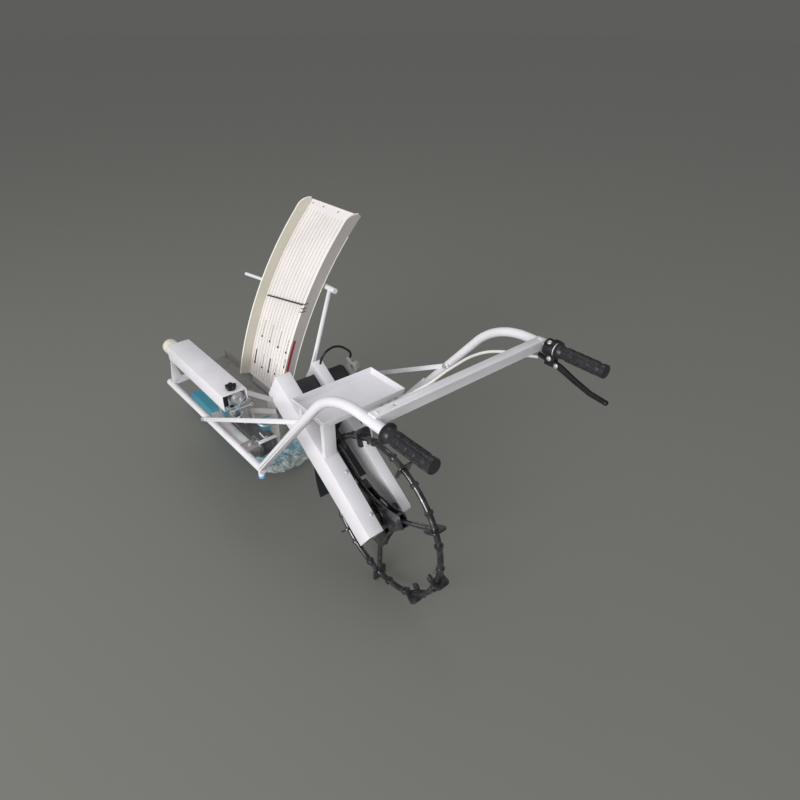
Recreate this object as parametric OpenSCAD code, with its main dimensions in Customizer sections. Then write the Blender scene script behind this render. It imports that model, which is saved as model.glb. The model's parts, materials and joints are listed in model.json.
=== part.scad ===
// Walk behind rice transplanter with one lugged wheel, one float and one seedling bay.
// Millimetres, +Z up, +Y away from the operator. Every sub-part is drawn in a frame
// whose origin is the wheel's ground contact height under the middle of the handles,
// and is then moved along Y so that the whole machine is centred.

/* [Handles] */
// distance between the two handle tubes, centre to centre
handle_gap = 550; // [500:5:600]
// outer diameter of the handle and frame tubes
tube_d = 25; // [22:0.5:28]
// height of the grips' axis above the floor
handle_h = 822; // [790:2:860]
// length of a rubber grip
grip_l = 130; // [110:1:145]
// outer diameter of a rubber grip
grip_d = 32; // [30:0.5:36]

/* [Wheel] */
// radius of the wheel's tube rim, to the middle of the tube
rim_r = 256; // [240:1:262]
// diameter of the rim tube
rim_tube_d = 18; // [14:0.5:20]
// how far a lug stands out past the middle of the rim tube
lug_out = 27; // [24:1:34]
// number of lug plates round the rim
lug_count = 9; // [6:1:12]
// width of a lug plate across the wheel
lug_w = 48; // [36:1:50]
// diameter of the wheel's axle
axle_d = 20; // [16:0.5:24]

/* [Chain case] */
// slope of the chain case, in degrees
case_tilt = 34.1; // [33:0.1:35]
// width of the white chain case cover
case_w = 52; // [46:1:56]
// thickness of the folded sheet
sheet = 2.5; // [2:0.1:3]

/* [Pan] */
// length of the pan across the machine
pan_l = 294; // [280:1:300]
// width of the pan along the machine
pan_w = 169; // [150:1:175]
// height of the pan's raised edge
pan_rim = 22; // [15:1:28]

/* [Seedling tray] */
// outside width of the seedling tray
tray_w = 284; // [270:1:290]
// depth of the tray's side walls
tray_wall = 38; // [30:1:44]
// radius of the tray's curved walls
tray_r = 1307; // [1300:1:1312]

/* [Float] */
// length of the float
float_l = 660; // [600:5:700]
// width of the float
float_w = 245; // [220:5:260]
// height of the float's body
float_h = 80; // [60:1:95]

/* [Hidden] */
$fn = 48;
tube_r = tube_d / 2;
hx = handle_gap / 2;                // half the distance between the handles
axle_h = rim_r + lug_out;           // the lugs stand on the floor
run_gap = 0.08;                     // radial running clearance
seat = 0.3;                         // gap between seated pieces

// frame tubes in the side view, and the joint of the handles on them
frame_y0 = 352;                     // near end of a frame tube
frame_yj = 366;                     // where the handle meets it
frame_zj = axle_h + 44.8;
frame_tilt = 1.84;                  // fall of a frame tube towards its far end
frame_y1 = 1104;                    // far end of the left frame tube
frame_y2 = 720;                     // far end of the right frame tube
function on_frame(y) = [y, frame_zj - (y - frame_yj) * tan(frame_tilt)];
cross_y = 480;                      // the cross tube of the frame
cross_r = 17;
cross_z = on_frame(cross_y)[1];

// handles in the side view: a straight part from the joint, a bend, and a level part
bend_r = 235;
handle_tilt = 48.66;                // slope of the straight part
hb_z = handle_h - bend_r + bend_r * cos(handle_tilt);
hb = [frame_yj - (hb_z - frame_zj) / tan(handle_tilt), hb_z];
function on_handle(y) = [y, hb[1] - (y - hb[0]) * tan(handle_tilt)];
bend_y = hb[0] - bend_r * sin(handle_tilt);
grip_y = bend_y - 100;              // inner end of a grip
grip_end = grip_y - grip_l;         // rear end of a grip
lever_l = 156;                      // reach of the clutch lever from a grip's inner end

// wheel
wheel_x = -85;
lug_a0 = 153;                       // first lug and first spoke, from +Y towards +Z

// chain case, along its slope (s) and across it (n)
case_x = -175;
case_s0 = -45;
case_s1 = 338;
case_s2 = 510;
case_n = 50;                        // top face of the cover
inner_x1 = case_x + case_w + 8;

// wheel arm
arm_x = -27;
arm_w = 34;
arm_s1 = 524;
arm_n = 27;                         // top face of the arm
plate_n = -13;                      // underside of the mud plate
plate_x1 = 85;

// pan
pan_x = -32;
pan_y = 213.5;
pan_z = axle_h + 280;

// seedling tray, placed by the lower end of its floor
tray_far = 841;                     // far side in Y
tray_near = tray_far - tray_w;
rail_z = axle_h + 65;
tray_a0 = 134.9;                    // upper end of the floor
tray_ak = 137.2;                    // where the walls' upper corners start
tray_a1 = 166;                      // lower end
floor_r = tray_r - tray_wall;
tray_c = [-55.6, rail_z + 35.8] - floor_r * [cos(tray_a1), sin(tray_a1)];
function on_tray(r, a) = [tray_c[0] + r * cos(a), tray_c[1] + r * sin(a)];
tray_travel = 190;

// planting unit
beam_x0 = -267;
beam_x1 = -178;
beam_y0 = tray_near + 49;
beam_y1 = tray_far + tray_travel + 45;
beam_z0 = axle_h + 131;
beam_z1 = beam_z0 + 58;
rail_x0 = -175;
rail_x1 = -46;
rail_y0 = tray_near + 28;
rail_y1 = tray_far + tray_travel + 54;
sleeve_r = 9;
sleeve_c = on_tray(floor_r - 20.5, 146.4);
arm_c = [-196, axle_h + 23];        // pivot of the planting arm in X and Z
arm_y = beam_y0 + 86;               // its near face

// float
float_x = -12;
float_y0 = 690;
float_y1 = float_y0 + float_l;

// the whole machine is centred along Y
shift_y = -(grip_y - lever_l + float_y1) / 2;

// helpers

// a straight round bar between two points
module bar(p, q, r) {
    d = q - p;
    l = norm(d);
    translate(p) rotate([0, acos(d[2] / l), atan2(d[1], d[0])]) cylinder(h = l, r = r);
}

// a plate drawn in the side view (Y, Z) and w thick along X from x0
module side_plate(x0, w) {
    translate([x0, 0, 0]) rotate([90, 0, 90]) linear_extrude(height = w) children();
}

// a plate drawn in the front view (X, Z) and w thick along Y from y0
module front_plate(y0, w) {
    translate([0, y0 + w, 0]) rotate([90, 0, 0]) linear_extrude(height = w) children();
}

// a round bar along X between two values of X
module xbar(x0, x1, y, z, r) {
    translate([x0, y, z]) rotate([0, 90, 0]) cylinder(h = x1 - x0, r = r);
}

// a round bar along Y between two values of Y
module ybar(y0, y1, x, z, r) {
    translate([x, y0, z]) rotate([-90, 0, 0]) cylinder(h = y1 - y0, r = r);
}

module block(p, q) {
    translate(p) cube(q - p);
}

// a flat slab with rounded corners, w by h and t thick, on its own middle
module round_slab(w, h, t, r) {
    cube([w - 2 * r, h, t], center = true);
    cube([w, h - 2 * r, t], center = true);
    for (x = [-1, 1], y = [-1, 1]) translate([x * (w / 2 - r), y * (h / 2 - r), 0]) cylinder(h = t, r = r, center = true);
}

// a slot with round ends along X, l long between the centres
module slot_cut(l, r, t) {
    cube([l, 2 * r, t], center = true);
    for (x = [-1, 1]) translate([x * l / 2, 0, 0]) cylinder(h = t, r = r, center = true);
}

// the machine's place along Y
module place() {
    translate([0, shift_y, 0]) children();
}

// the slope of the chain case, from the wheel's axle
module slope() {
    translate([0, 0, axle_h]) rotate([case_tilt, 0, 0]) children();
}

// the line of a frame tube, from the handle's joint
module along_frame(x) {
    translate([x, frame_yj, frame_zj]) rotate([-frame_tilt, 0, 0]) children();
}

// a tube swept along a row of points, as rings round each point
function unit(v) = v / norm(v);
function tangent(p, i) = unit(i == 0 ? p[1] - p[0] : i == len(p) - 1 ? p[i] - p[i - 1] : unit(p[i + 1] - p[i]) + unit(p[i] - p[i - 1]));
function side_of(t) = unit(cross(t, abs(t[2]) > 0.9 ? [1, 0, 0] : [0, 0, 1]));
function carried(s, t) = unit(s - (s * t) * t);
function sides(p, i, s) = i == len(p) ? [] : let (c = carried(s, tangent(p, i))) concat([c], sides(p, i + 1, c));
// points of a smooth run through the route
function smooth4(a, b, c, d, t) = 0.5 * (2 * b + (c - a) * t + (2 * a - 5 * b + 4 * c - d) * t * t + (3 * b - a - 3 * c + d) * t * t * t);
function route(p, k) = concat([for (i = [0:len(p) - 2]) for (j = [0:k - 1])
    smooth4(p[max(i - 1, 0)], p[i], p[i + 1], p[min(i + 2, len(p) - 1)], j / k)], [p[len(p) - 1]]);
module swept(p, r, n) {
    s = sides(p, 0, side_of(tangent(p, 0)));
    m = len(p);
    pts = [for (i = [0:m - 1]) let (t = tangent(p, i), a = s[i], b = cross(t, a))
        for (k = [0:n - 1]) p[i] + r * (cos(360 * k / n) * a + sin(360 * k / n) * b)];
    polyhedron(points = pts, faces = concat(
        [[for (k = [0:n - 1]) k]],
        [for (i = [0:m - 2]) for (k = [0:n - 1]) [i * n + k, (i + 1) * n + k, (i + 1) * n + (k + 1) % n, i * n + (k + 1) % n]],
        [[for (k = [n - 1:-1:0]) (m - 1) * n + k]]), convexity = 4);
}

// handles

// a handle tube down to the given distance along its straight part, as rings along its middle line
module handle_tube(x, run) {
    low = hb + run * [cos(handle_tilt), -sin(handle_tilt)];
    bend = [for (k = [0:14]) let (t = handle_tilt * k / 14) [x, bend_y + bend_r * sin(t), handle_h - bend_r + bend_r * cos(t)]];
    swept(concat([[x, grip_end + 3, handle_h]], bend, [[x, low[0], low[1]]]), tube_r, 24);
}
left_run = norm(on_handle(frame_yj) - hb);

module handle_left() {
    color([0.93, 0.92, 0.94]) place() difference() {
        handle_tube(-hx, left_run);
        along_frame(-hx) swept([[0, -60, 0], [0, 60, 0]], tube_r / cos(180 / 24), 24);
    }
}

module handle_right() {
    color([0.93, 0.92, 0.94]) place() handle_tube(hx, norm(on_handle(262) - hb));
}

// folded sheet socket that carries the right handle down to the frame
module handle_socket() {
    w = tube_r + seat;
    color([0.93, 0.92, 0.94]) place() difference() {
        translate([hx, hb[0], hb[1]]) rotate([-handle_tilt, 0, 0]) difference() {
            block([-w - 4, norm(on_handle(195) - hb), -w - 4], [w + 4, left_run + 2, w + 1]);
            block([-w, 0, -w], [w, left_run + 40, w + 30]);
        }
        along_frame(hx) ybar(-60, 60, 0, 0, tube_r);
    }
}

// square tube between the two handles
module handle_cross_tube() {
    color([0.93, 0.92, 0.94]) place() difference() {
        block([-hx, bend_y - 56.5, handle_h - 8], [hx, bend_y - 31.5, handle_h + 17]);
        for (x = [-hx, hx]) ybar(bend_y - 125, bend_y + 25, x, handle_h, tube_r);
        translate([-hx + 62, bend_y - 44, handle_h + 5]) cylinder(h = 20, r = 4);
    }
}

// a grip turned from one profile: flange, neck, body with smooth bands, end cap
module grip(x) {
    l = grip_l;
    r = grip_d / 2;
    translate([x, grip_y, handle_h]) rotate([90, 0, 0]) difference() {
        rotate_extrude() polygon([[0, -6], [r + 8, -6], [r + 8, -2], [r + 2, 0], [r + 1, 10], [r - 1, 13], [r - 1, 16],
            [r, 18], [r, l * 0.48], [r - 1, l * 0.49], [r - 1, l * 0.52], [r, l * 0.53], [r, l - 16], [r - 1, l - 14],
            [r - 1, l - 11], [r + 1.5, l - 8], [r + 1.5, l + 2], [r - 0.5, l + 4], [0, l + 4]]);
        translate([0, 0, -20]) cylinder(h = l + 17, r = tube_r);
    }
}

module grip_left() {
    color([0.09, 0.09, 0.1]) place() grip(-hx);
}

module grip_right() {
    color([0.09, 0.09, 0.1]) place() grip(hx);
}

// clamp and lever stock of the clutch, on the right handle
module lever_perch() {
    color([0.1, 0.1, 0.11]) place() difference() {
        union() {
            ybar(grip_y + 11, grip_y + 39, hx, handle_h, tube_r + 9);
            block([hx + 8, grip_y + 16, handle_h - 10], [hx + tube_r + 16, grip_y + 34, handle_h + 12]);
            block([hx - 9, grip_y + 7, handle_h - 46], [hx + 9, grip_y + 35, handle_h - 10]);
            translate([hx, grip_y + 35, handle_h - 36]) rotate([-80, 0, 0]) cylinder(h = 26, r = 6);
        }
        ybar(grip_y - 25, grip_y + 75, hx, handle_h, tube_r);
        block([hx - 4, grip_y + 3, handle_h - 50], [hx + 4, grip_y + 29, handle_h - 26]);
    }
}

// pale band between the stock and the grip
module lever_band() {
    color([0.85, 0.85, 0.86]) place() difference() {
        ybar(grip_y + 6.3, grip_y + 10.7, hx, handle_h, tube_r + 6);
        ybar(grip_y, grip_y + 20, hx, handle_h, tube_r);
        block([hx - 10, grip_y, handle_h - 50], [hx + 10, grip_y + 20, handle_h - 9.7]);
    }
}

// long curved lever under the grip, with a ball at its end
module clutch_lever() {
    z = handle_h;
    color([0.08, 0.08, 0.09]) place() {
        side_plate(hx - 3.6, 7.2) polygon([for (p = [[25, -29], [13, -29], [-15, -36], [-55, -52], [-105, -68],
            [-149, -73], [-149, -84], [-103, -80], [-53, -66], [-17, -54], [13, -45], [25, -44]]) [grip_y + p[0], z + p[1]]]);
        translate([hx, grip_y - lever_l + 7, z - 78.5]) sphere(r = 7);
    }
}

// the clutch cable, held all the way
clutch_route = [[hx, grip_y + 61, handle_h - 41], [hx - 3, grip_y + 76, handle_h - 44], [hx - 14, grip_y + 100, handle_h - 47],
    [hx - 30, bend_y + 65, handle_h - 58], [hx - 42, bend_y + 135, handle_h - 92], [hx - 62, bend_y + 215, handle_h - 165],
    [hx - 100, bend_y + 285, handle_h - 245], [hx - 150, bend_y + 355, handle_h - 300], [100, 250, axle_h + 217],
    [94, 310, axle_h + 227], [92, 349, axle_h + 234]];
module clutch_cable() {
    color([0.9, 0.88, 0.86]) place() swept(route(clutch_route, 4), 3.5, 8);
}

// frame

module frame_tube_left() {
    color([0.93, 0.92, 0.94]) place() {
        along_frame(-hx) ybar(frame_y0 - frame_yj, frame_y1 - frame_yj, 0, 0, tube_r);
        translate([-hx, frame_yj, frame_zj - tube_r - 12]) cylinder(h = 16, r = tube_r - 2);
    }
}

module frame_tube_right() {
    color([0.93, 0.92, 0.94]) place() along_frame(hx) ybar(frame_y0 - frame_yj, frame_y2 - frame_yj, 0, 0, tube_r);
}

module frame_end_caps() {
    color([0.4, 0.68, 0.88]) place() {
        translate([-hx, frame_yj, frame_zj - tube_r - 20]) cylinder(h = 8, r = tube_r - 1);
        along_frame(hx) ybar(frame_y2 - frame_yj, frame_y2 - frame_yj + 6, 0, 0, tube_r + 1);
    }
}

// cross tube of the frame with its cast end blocks
module frame_cross_tube() {
    color([0.62, 0.61, 0.62]) place() difference() {
        union() {
            xbar(-hx, hx, cross_y, cross_z, cross_r);
            for (x = [-hx, hx - 48]) block([x, cross_y - 24, cross_z - 20], [x + 48, cross_y + 24, cross_z + 20]);
        }
        for (x = [-hx, hx]) along_frame(x) ybar(-100, 300, 0, 0, tube_r);
    }
}

// flat bar along the left frame tube
module side_bar() {
    color([0.9, 0.89, 0.9]) place() difference() {
        along_frame(-hx) block([0, cross_y + 27 - frame_yj, -3], [46, 405, 3]);
        along_frame(-hx) ybar(-20, 500, 0, 0, tube_r);
    }
}

// flat brace with a hole at each end, from a point at a handle to a point at a frame tube
module brace(from, to) {
    d = to - from;
    translate(from) rotate([atan2(d[2], norm([d[0], d[1]])), 0, -atan2(d[0], d[1])]) difference() {
        block([-2.5, -14, -7], [2.5, norm(d) + 14, 7]);
        for (y = [0, norm(d)]) xbar(-5, 5, y, 0, 4.25);
    }
}

// the left one runs from the handle's inner side to the frame tube's outer side
module brace_left() {
    a = on_handle(80);
    b = on_frame(757);
    color([0.92, 0.91, 0.93]) place()
        brace([-hx + tube_r + 3.6, a[0], a[1]], [-hx - tube_r - 3.6, b[0], b[1]]);
}

module brace_right() {
    a = on_handle(110);
    b = on_frame(680);
    color([0.92, 0.91, 0.93]) place()
        brace([hx - tube_r - 2.8, a[0], a[1]], [hx - tube_r - 2.8, b[0], b[1]]);
}

// pan

// shallow pan whose four walls lean out a little
module pan_shape(d, z0, z1, lean) {
    x0 = pan_x - pan_l / 2 + d;
    x1 = pan_x + pan_l / 2 - d;
    y0 = pan_y - pan_w / 2 + d;
    y1 = pan_y + pan_w / 2 - d;
    intersection() {
        front_plate(y0, y1 - y0) polygon([[x0 + lean, z0], [x1 - lean, z0], [x1, z1], [x0, z1]]);
        side_plate(x0, x1 - x0) polygon([[y0 + lean, z0], [y1 - lean, z0], [y1, z1], [y0, z1]]);
    }
}

module pan() {
    color([0.88, 0.87, 0.89]) place() difference() {
        pan_shape(0, pan_z, pan_z + pan_rim, 5);
        pan_shape(sheet, pan_z + sheet, pan_z + pan_rim + 0.01, 4.5);
    }
}

// posts that carry the pan on the chain case and on the wheel arm
module pan_posts() {
    color([0.88, 0.87, 0.89]) place() {
        for (y = [150, 262]) {
            difference() {
                block([case_x + 6, y, axle_h + 47], [case_x + case_w - 6, y + 16, pan_z]);
                slope() side_plate(case_x, case_w) polygon([[case_s0, -400], [700, -400], [700, case_n + 2], [case_s1, case_n + 2], [case_s1, case_n], [165, case_n], [case_s0, 41]]);
            }
            difference() {
                block([arm_x + 4, y, axle_h + 47], [arm_x + arm_w - 4, y + 16, pan_z]);
                slope() block([arm_x - 5, -60, -400], [arm_x + arm_w + 5, 700, arm_n]);
            }
        }
        difference() {
            block([arm_x + arm_w - 4, 150, pan_z - 26], [arm_x + arm_w + 96, 153, pan_z]);
            for (x = [26, 54, 82]) ybar(140, 160, arm_x + arm_w + x, pan_z - 13, 5.5);
        }
    }
}

// chain case

// white folded cover: left face, top face and right flange
module chain_case_cover() {
    color([0.93, 0.92, 0.94]) place() slope() difference() {
        side_plate(case_x, case_w) polygon([[case_s0, -37], [case_s1, -37], [case_s1, case_n], [165, case_n], [case_s0, 41]]);
        side_plate(case_x + sheet, case_w - 2 * sheet) polygon([[case_s0 - 5, -40], [case_s1 + 5, -40], [case_s1 + 5, case_n - sheet], [165, case_n - sheet], [case_s0 - 5, 41 - sheet]]);
        xbar(case_x + case_w / 2, case_x + case_w + 5, 0, 0, 16);
    }
}

// upper box of the chain case
module chain_case_top() {
    color([0.93, 0.92, 0.94]) place() slope() difference() {
        block([case_x, case_s1, -55], [case_x + case_w, case_s2, case_n + 2]);
        block([case_x + sheet, case_s1 - 5, -60], [case_x + case_w - sheet, case_s2 - sheet, case_n + 2 - sheet]);
    }
}

// black housing inside the cover, with the bearings of the wheel's axle
module chain_case_inner() {
    x0 = case_x + sheet + seat;
    x1 = case_x + case_w - sheet - seat;
    color([0.07, 0.07, 0.08]) place() slope() difference() {
        union() {
            block([x0, -32, -33], [x1, case_s2 - 6, 30]);
            block([x0 + 4, -32, -45], [inner_x1, case_s1 - 40, -39]);
            block([x0 + 4, -32, -39], [x1, case_s1 - 40, -33]);
            block([case_x + case_w + seat, -32, -39], [inner_x1, case_s2 - 40, 24]);
        }
        block([x0 + 4, 30, -50], [x1 - 6, case_s2 - 40, 24]);
        xbar(x0 - 1, inner_x1 + 1, 0, 0, axle_d / 2 + run_gap);
    }
}

// gear case between the chain case and the frame's cross tube
module gear_case() {
    color([0.55, 0.56, 0.57]) place() difference() {
        block([case_x + 4, cross_y - 60, cross_z + 4], [case_x + case_w - 4, cross_y - 2, cross_z + 176]);
        xbar(-hx, hx, cross_y, cross_z, cross_r);
        slope() block([case_x - 5, 0, -55], [case_x + case_w + 5, 700, 200]);
    }
}

// right arm of the wheel

module wheel_arm() {
    color([0.92, 0.91, 0.93]) place() slope() difference() {
        side_plate(arm_x, arm_w) polygon([[-26, -18], [20, -48], [250, -62], [arm_s1, -62], [arm_s1, arm_n], [250, arm_n], [-14, arm_n - 6], [-26, 14]]);
        side_plate(arm_x + sheet, arm_w - 2 * sheet) polygon([[20, -70], [arm_s1 - sheet, -70], [arm_s1 - sheet, arm_n - sheet], [250, arm_n - sheet], [20, arm_n - 6 - sheet]]);
        xbar(arm_x - 5, arm_x + arm_w + 5, 0, 0, axle_d / 2 + run_gap);
        block([arm_x - 1, 317, plate_n - seat], [arm_x + arm_w + 1, 499, plate_n + 6 + seat]);
    }
}

// post between the frame's cross tube and the wheel arm
module arm_post() {
    y = cross_y;
    z = cross_z;
    color([0.55, 0.56, 0.57]) place() difference() {
        side_plate(arm_x + sheet + seat, arm_w - 2 * (sheet + seat)) polygon([[y - 14, z + 8], [y + 14, z + 8], [y + 14, z + 50],
            [y - 44, z + 196], [y - 50, z + 276], [y - 80, z + 276], [y - 80, z + 176], [y - 14, z + 50]]);
        xbar(-hx, hx, cross_y, cross_z, cross_r);
        slope() block([arm_x - 5, 0, arm_n - sheet - seat], [arm_x + arm_w + 5, 700, 300]);
        slope() block([arm_x - 5, arm_s1 - sheet - seat, -300], [arm_x + arm_w + 5, 700, 300]);
        slope() block([arm_x - 5, 300, plate_n - 0.3], [arm_x + arm_w + 5, 499, plate_n + 6.3]);
    }
}

// black mud plate over the wheel, through the wheel arm to the cast bracket
module mud_plate() {
    guard_r = rim_r + lug_out + 31;
    color([0.08, 0.08, 0.09]) place() slope() difference() {
        union() {
            block([inner_x1 + 0.3, guard_r + 1.5, plate_n], [plate_x1, 498, plate_n + 6]);
            difference() {
                intersection() {
                    xbar(inner_x1 + 0.3, plate_x1, 0, 0, guard_r + 3);
                    side_plate(inner_x1 - 5, plate_x1 - inner_x1 + 10)
                        polygon([[200, -9.5], [guard_r + 20, -9.5], [guard_r + 20, -280], [190, -280], [165, -245]]);
                }
                xbar(inner_x1 - 5, plate_x1 + 5, 0, 0, guard_r);
            }
        }
        translate([plate_x1 - 14, 498 - 14, plate_n - 1]) difference() {
            cube([20, 20, 10]);
            translate([0, 0, -1]) cylinder(h = 12, r = 14);
        }
        block([arm_x - 2, 200, -66], [arm_x + arm_w + 2, guard_r + 4, 40]);
    }
}

// bracket with a bored eye on the edge of the mud plate
module cast_bracket() {
    color([0.7, 0.7, 0.71]) place() slope() difference() {
        union() {
            side_plate(plate_x1 + 0.3, 12) polygon([[424, plate_n - 12], [490, plate_n - 12], [477, 30], [437, 30]]);
            xbar(plate_x1 + 0.3, plate_x1 + 20.3, 457, 30, 20);
            xbar(plate_x1 + 0.3, plate_x1 + 14.3, 486, 36, 9);
            side_plate(plate_x1 + 0.3, 8) polygon([[457, 40], [484, 44], [488, 28], [462, 14]]);
        }
        xbar(50, 150, 457, 30, 11);
    }
}

// the black cable above the wheel arm, held at both ends
black_route = [[-10, 506, 36], [-8, 512, 60], [12, 520, 84], [44, 520, 88], [74, 506, 78], [91, 492, 60], [91, 488, 45.5]];
module black_cable() {
    color([0.06, 0.06, 0.07]) place() slope() swept(route(black_route, 4), 3.5, 8);
}

// wheel

// a piece drawn on the wheel: X outwards along a spoke, Z across the wheel
module on_wheel(a) {
    translate([wheel_x, 0, axle_h]) rotate([0, 90, 0]) rotate([0, 0, a + 90]) children();
}
spoke_d = rim_tube_d - 2;
collar_a = 11;                      // from a lug to the collars beside it

// tube rim with a six-sided collar on each side of every lug, and three spokes
module wheel_rim() {
    color([0.25, 0.25, 0.26]) place() {
        on_wheel(0) rotate_extrude($fn = 96) translate([rim_r, 0]) circle(d = rim_tube_d, $fn = 24);
        for (k = [0:lug_count - 1], e = [-1, 1]) on_wheel(lug_a0 + 360 / lug_count * k + e * collar_a)
            translate([rim_r, 0, 0]) rotate([90, 0, 0]) cylinder(h = 11, r = rim_tube_d / 2 + 4, center = true, $fn = 6);
        for (k = [0:2]) on_wheel(lug_a0 + 120 * k) difference() {
            rotate([0, 90, 0]) cylinder(h = rim_r, d = spoke_d, $fn = 24);
            cylinder(h = 100, r = 30.2, center = true);
            rotate_extrude($fn = 96) translate([rim_r, 0]) circle(d = rim_tube_d - 0.2, $fn = 24);
        }
    }
}

// one lug plate with round corners; the rim runs through its middle
module lug() {
    difference() {
        translate([rim_r, 0, 0]) rotate([90, 0, 0]) round_slab(2 * lug_out, lug_w, 5, 12);
        rotate_extrude($fn = 96) translate([rim_r, 0]) circle(d = rim_tube_d + 0.02, $fn = 24);
        rotate([0, 90, 0]) cylinder(h = rim_r, d = spoke_d + 0.02, $fn = 24);
    }
}

module wheel_lugs() {
    color([0.2, 0.2, 0.21]) place()
        for (k = [0:lug_count - 1]) on_wheel(lug_a0 + 360 / lug_count * k) lug();
}

// three-armed sheet of the hub: hollow sides, and a slot between the arms
spider_r = 118;
module spider(z) {
    difference() {
        translate([0, 0, z]) cylinder(h = 3, r = spider_r);
        for (k = [0:2]) rotate([0, 0, 60 + 120 * k]) {
            translate([336, 0, z - 1]) cylinder(h = 5, r = 274, $fn = 96);
            translate([47, 0, z]) rotate([0, 0, 90]) slot_cut(24, 6, 10);
        }
    }
}

// hub: barrel, two sheets with folded ends round the spokes, and the axle through both arms
module wheel_hub() {
    half = spoke_d / 2 + seat;
    color([0.3, 0.3, 0.31]) place() {
        on_wheel(lug_a0) {
            cylinder(h = 2 * half + 10, r = 30, center = true);
            spider(half);
            spider(-half - 3);
            for (k = [0:2], e = [-1, 1]) rotate([0, 0, 120 * k])
                translate([98, e * 20, 0]) cube([28, 3, 2 * half + 2], center = true);
        }
        xbar(inner_x1 + 2, arm_x - 2, 0, axle_h, axle_d / 2 + 4);
        xbar(case_x + 8, arm_x + arm_w + 8, 0, axle_h, axle_d / 2);
    }
}

// planting unit

// box beam of folded sheet, open below and at its near end, with turned-in lower edges
module feed_cover() {
    color([0.93, 0.92, 0.94]) place() difference() {
        block([beam_x0, beam_y0, beam_z0], [beam_x1, beam_y1, beam_z1]);
        block([beam_x0 + sheet, beam_y0 - 5, beam_z0 + sheet], [beam_x1 - sheet, beam_y1 - sheet, beam_z1 - sheet]);
        block([beam_x0 + 12, beam_y0 - 5, beam_z0 - 5], [beam_x1 - 12, beam_y1 - sheet, beam_z0 + 5]);
        ybar(beam_y1 - 5, beam_y1 + 5, beam_x0 + 22, beam_z1 - 18, 12);
    }
}

// cross feed screw inside the cover, with its drum at the open end
module feed_screw() {
    x = beam_x1 - 34;
    z = beam_z1 - 29;
    color([0.5, 0.5, 0.52]) place() {
        ybar(beam_y0 + 6, beam_y1 - sheet - seat, x, z, 10);
        ybar(beam_y0 + 6, beam_y0 + 44, x, z, 23);
        for (k = [0:10]) ybar(beam_y0 + 70 + 34 * k, beam_y0 + 78 + 34 * k, x, z, 13);
    }
}

// star knob on the cover
module feed_knob() {
    color([0.06, 0.06, 0.07]) place() translate([beam_x0 + 47, beam_y0 + 28, beam_z1]) {
        cylinder(h = 16, r = 13.5);
        for (k = [0:4]) rotate([0, 0, 72 * k]) translate([12.5, 0, 4]) cylinder(h = 12, r = 6.5);
    }
}

// round cap in the far end of the cover
module feed_end_cap() {
    x = beam_x0 + 22;
    z = beam_z1 - 18;
    color([0.86, 0.84, 0.76]) place() difference() {
        union() {
            ybar(beam_y1 + seat, beam_y1 + 6, x, z, 26);
            ybar(beam_y1 + 6, beam_y1 + 27, x, z, 29);
            ybar(beam_y1 - 20, beam_y1 + 1, x, z, 11.7);
        }
        ybar(beam_y1 + 14, beam_y1 + 33, x, z, 4);
    }
}

// plate between the far end of the frame tube, the cover and the rail
module end_plate() {
    color([0.9, 0.89, 0.91]) place() difference() {
        front_plate(beam_y1 - 21, 5) polygon([[-hx, axle_h + 27], [-hx - 5, axle_h + 57], [beam_x0 - 0.3, beam_z0 + 14], [beam_x0 - 0.3, beam_z0 - 4],
            [beam_x0 + 5, beam_z0 - 4], [-240, axle_h + 57], [rail_x0 - 10, rail_z - 0.3], [rail_x1, rail_z - 0.3], [rail_x1, axle_h + 33], [-200, axle_h + 33]]);
        along_frame(-hx) ybar(600, 800, 0, 0, tube_r);
        block([rail_x0 - 3.3, beam_y1 - 71, rail_z - 0.3], [rail_x1 + 3, beam_y1 + 29, rail_z + 152]);
    }
}

// trough on which the foot of the seedling tray slides
module rail() {
    color([0.6, 0.6, 0.6]) place() difference() {
        block([rail_x0, rail_y0, rail_z], [rail_x1 + 6, rail_y1, rail_z + 34]);
        block([rail_x0 + sheet, rail_y0 - 5, rail_z + sheet], [rail_x1 + 6 - sheet, rail_y1 + 5, rail_z + 50]);
    }
}

// bars that hold the near end of the cover and rail to the chain case
module rail_bars() {
    w = case_x - beam_x1 - 2 * seat;
    color([0.8, 0.8, 0.8]) place() for (p = [[426, axle_h + 222, axle_h + 149], [410, axle_h + 187, axle_h + 71]])
        side_plate(beam_x1 + seat, w) polygon([[p[0], p[1]], [beam_y0 + 35, p[2]], [beam_y0 + 35, p[2] + 20], [p[0], p[1] + 20]]);
}

// tube from the wheel arm up to the tray's guide, flattened at its foot
module tray_strut() {
    low = [arm_x + arm_w / 2, 447, axle_h + 284];
    top = [sleeve_c[0], tray_near - 16, sleeve_c[1]];
    d = top - low;
    color([0.92, 0.91, 0.93]) place() difference() {
        union() {
            bar(low, top, 7);
            translate(low) rotate([0, acos(d[2] / norm(d)), atan2(d[1], d[0])]) rotate([90, 0, 0])
                linear_extrude(height = 6, center = true) polygon([[-15, -30], [15, -30], [12, 20], [6, 60], [-6, 60], [-12, 20]]);
        }
        slope() block([arm_x - 60, 300, -150], [arm_x + 100, arm_s1 + seat, 150]);
        ybar(tray_near - 50, tray_near + 30, sleeve_c[0], sleeve_c[1], sleeve_r);
    }
}

// guide tube behind the tray
module tray_sleeve() {
    color([0.92, 0.91, 0.93]) place() ybar(tray_near - 47, tray_far - 5, sleeve_c[0], sleeve_c[1], sleeve_r);
}

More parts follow.
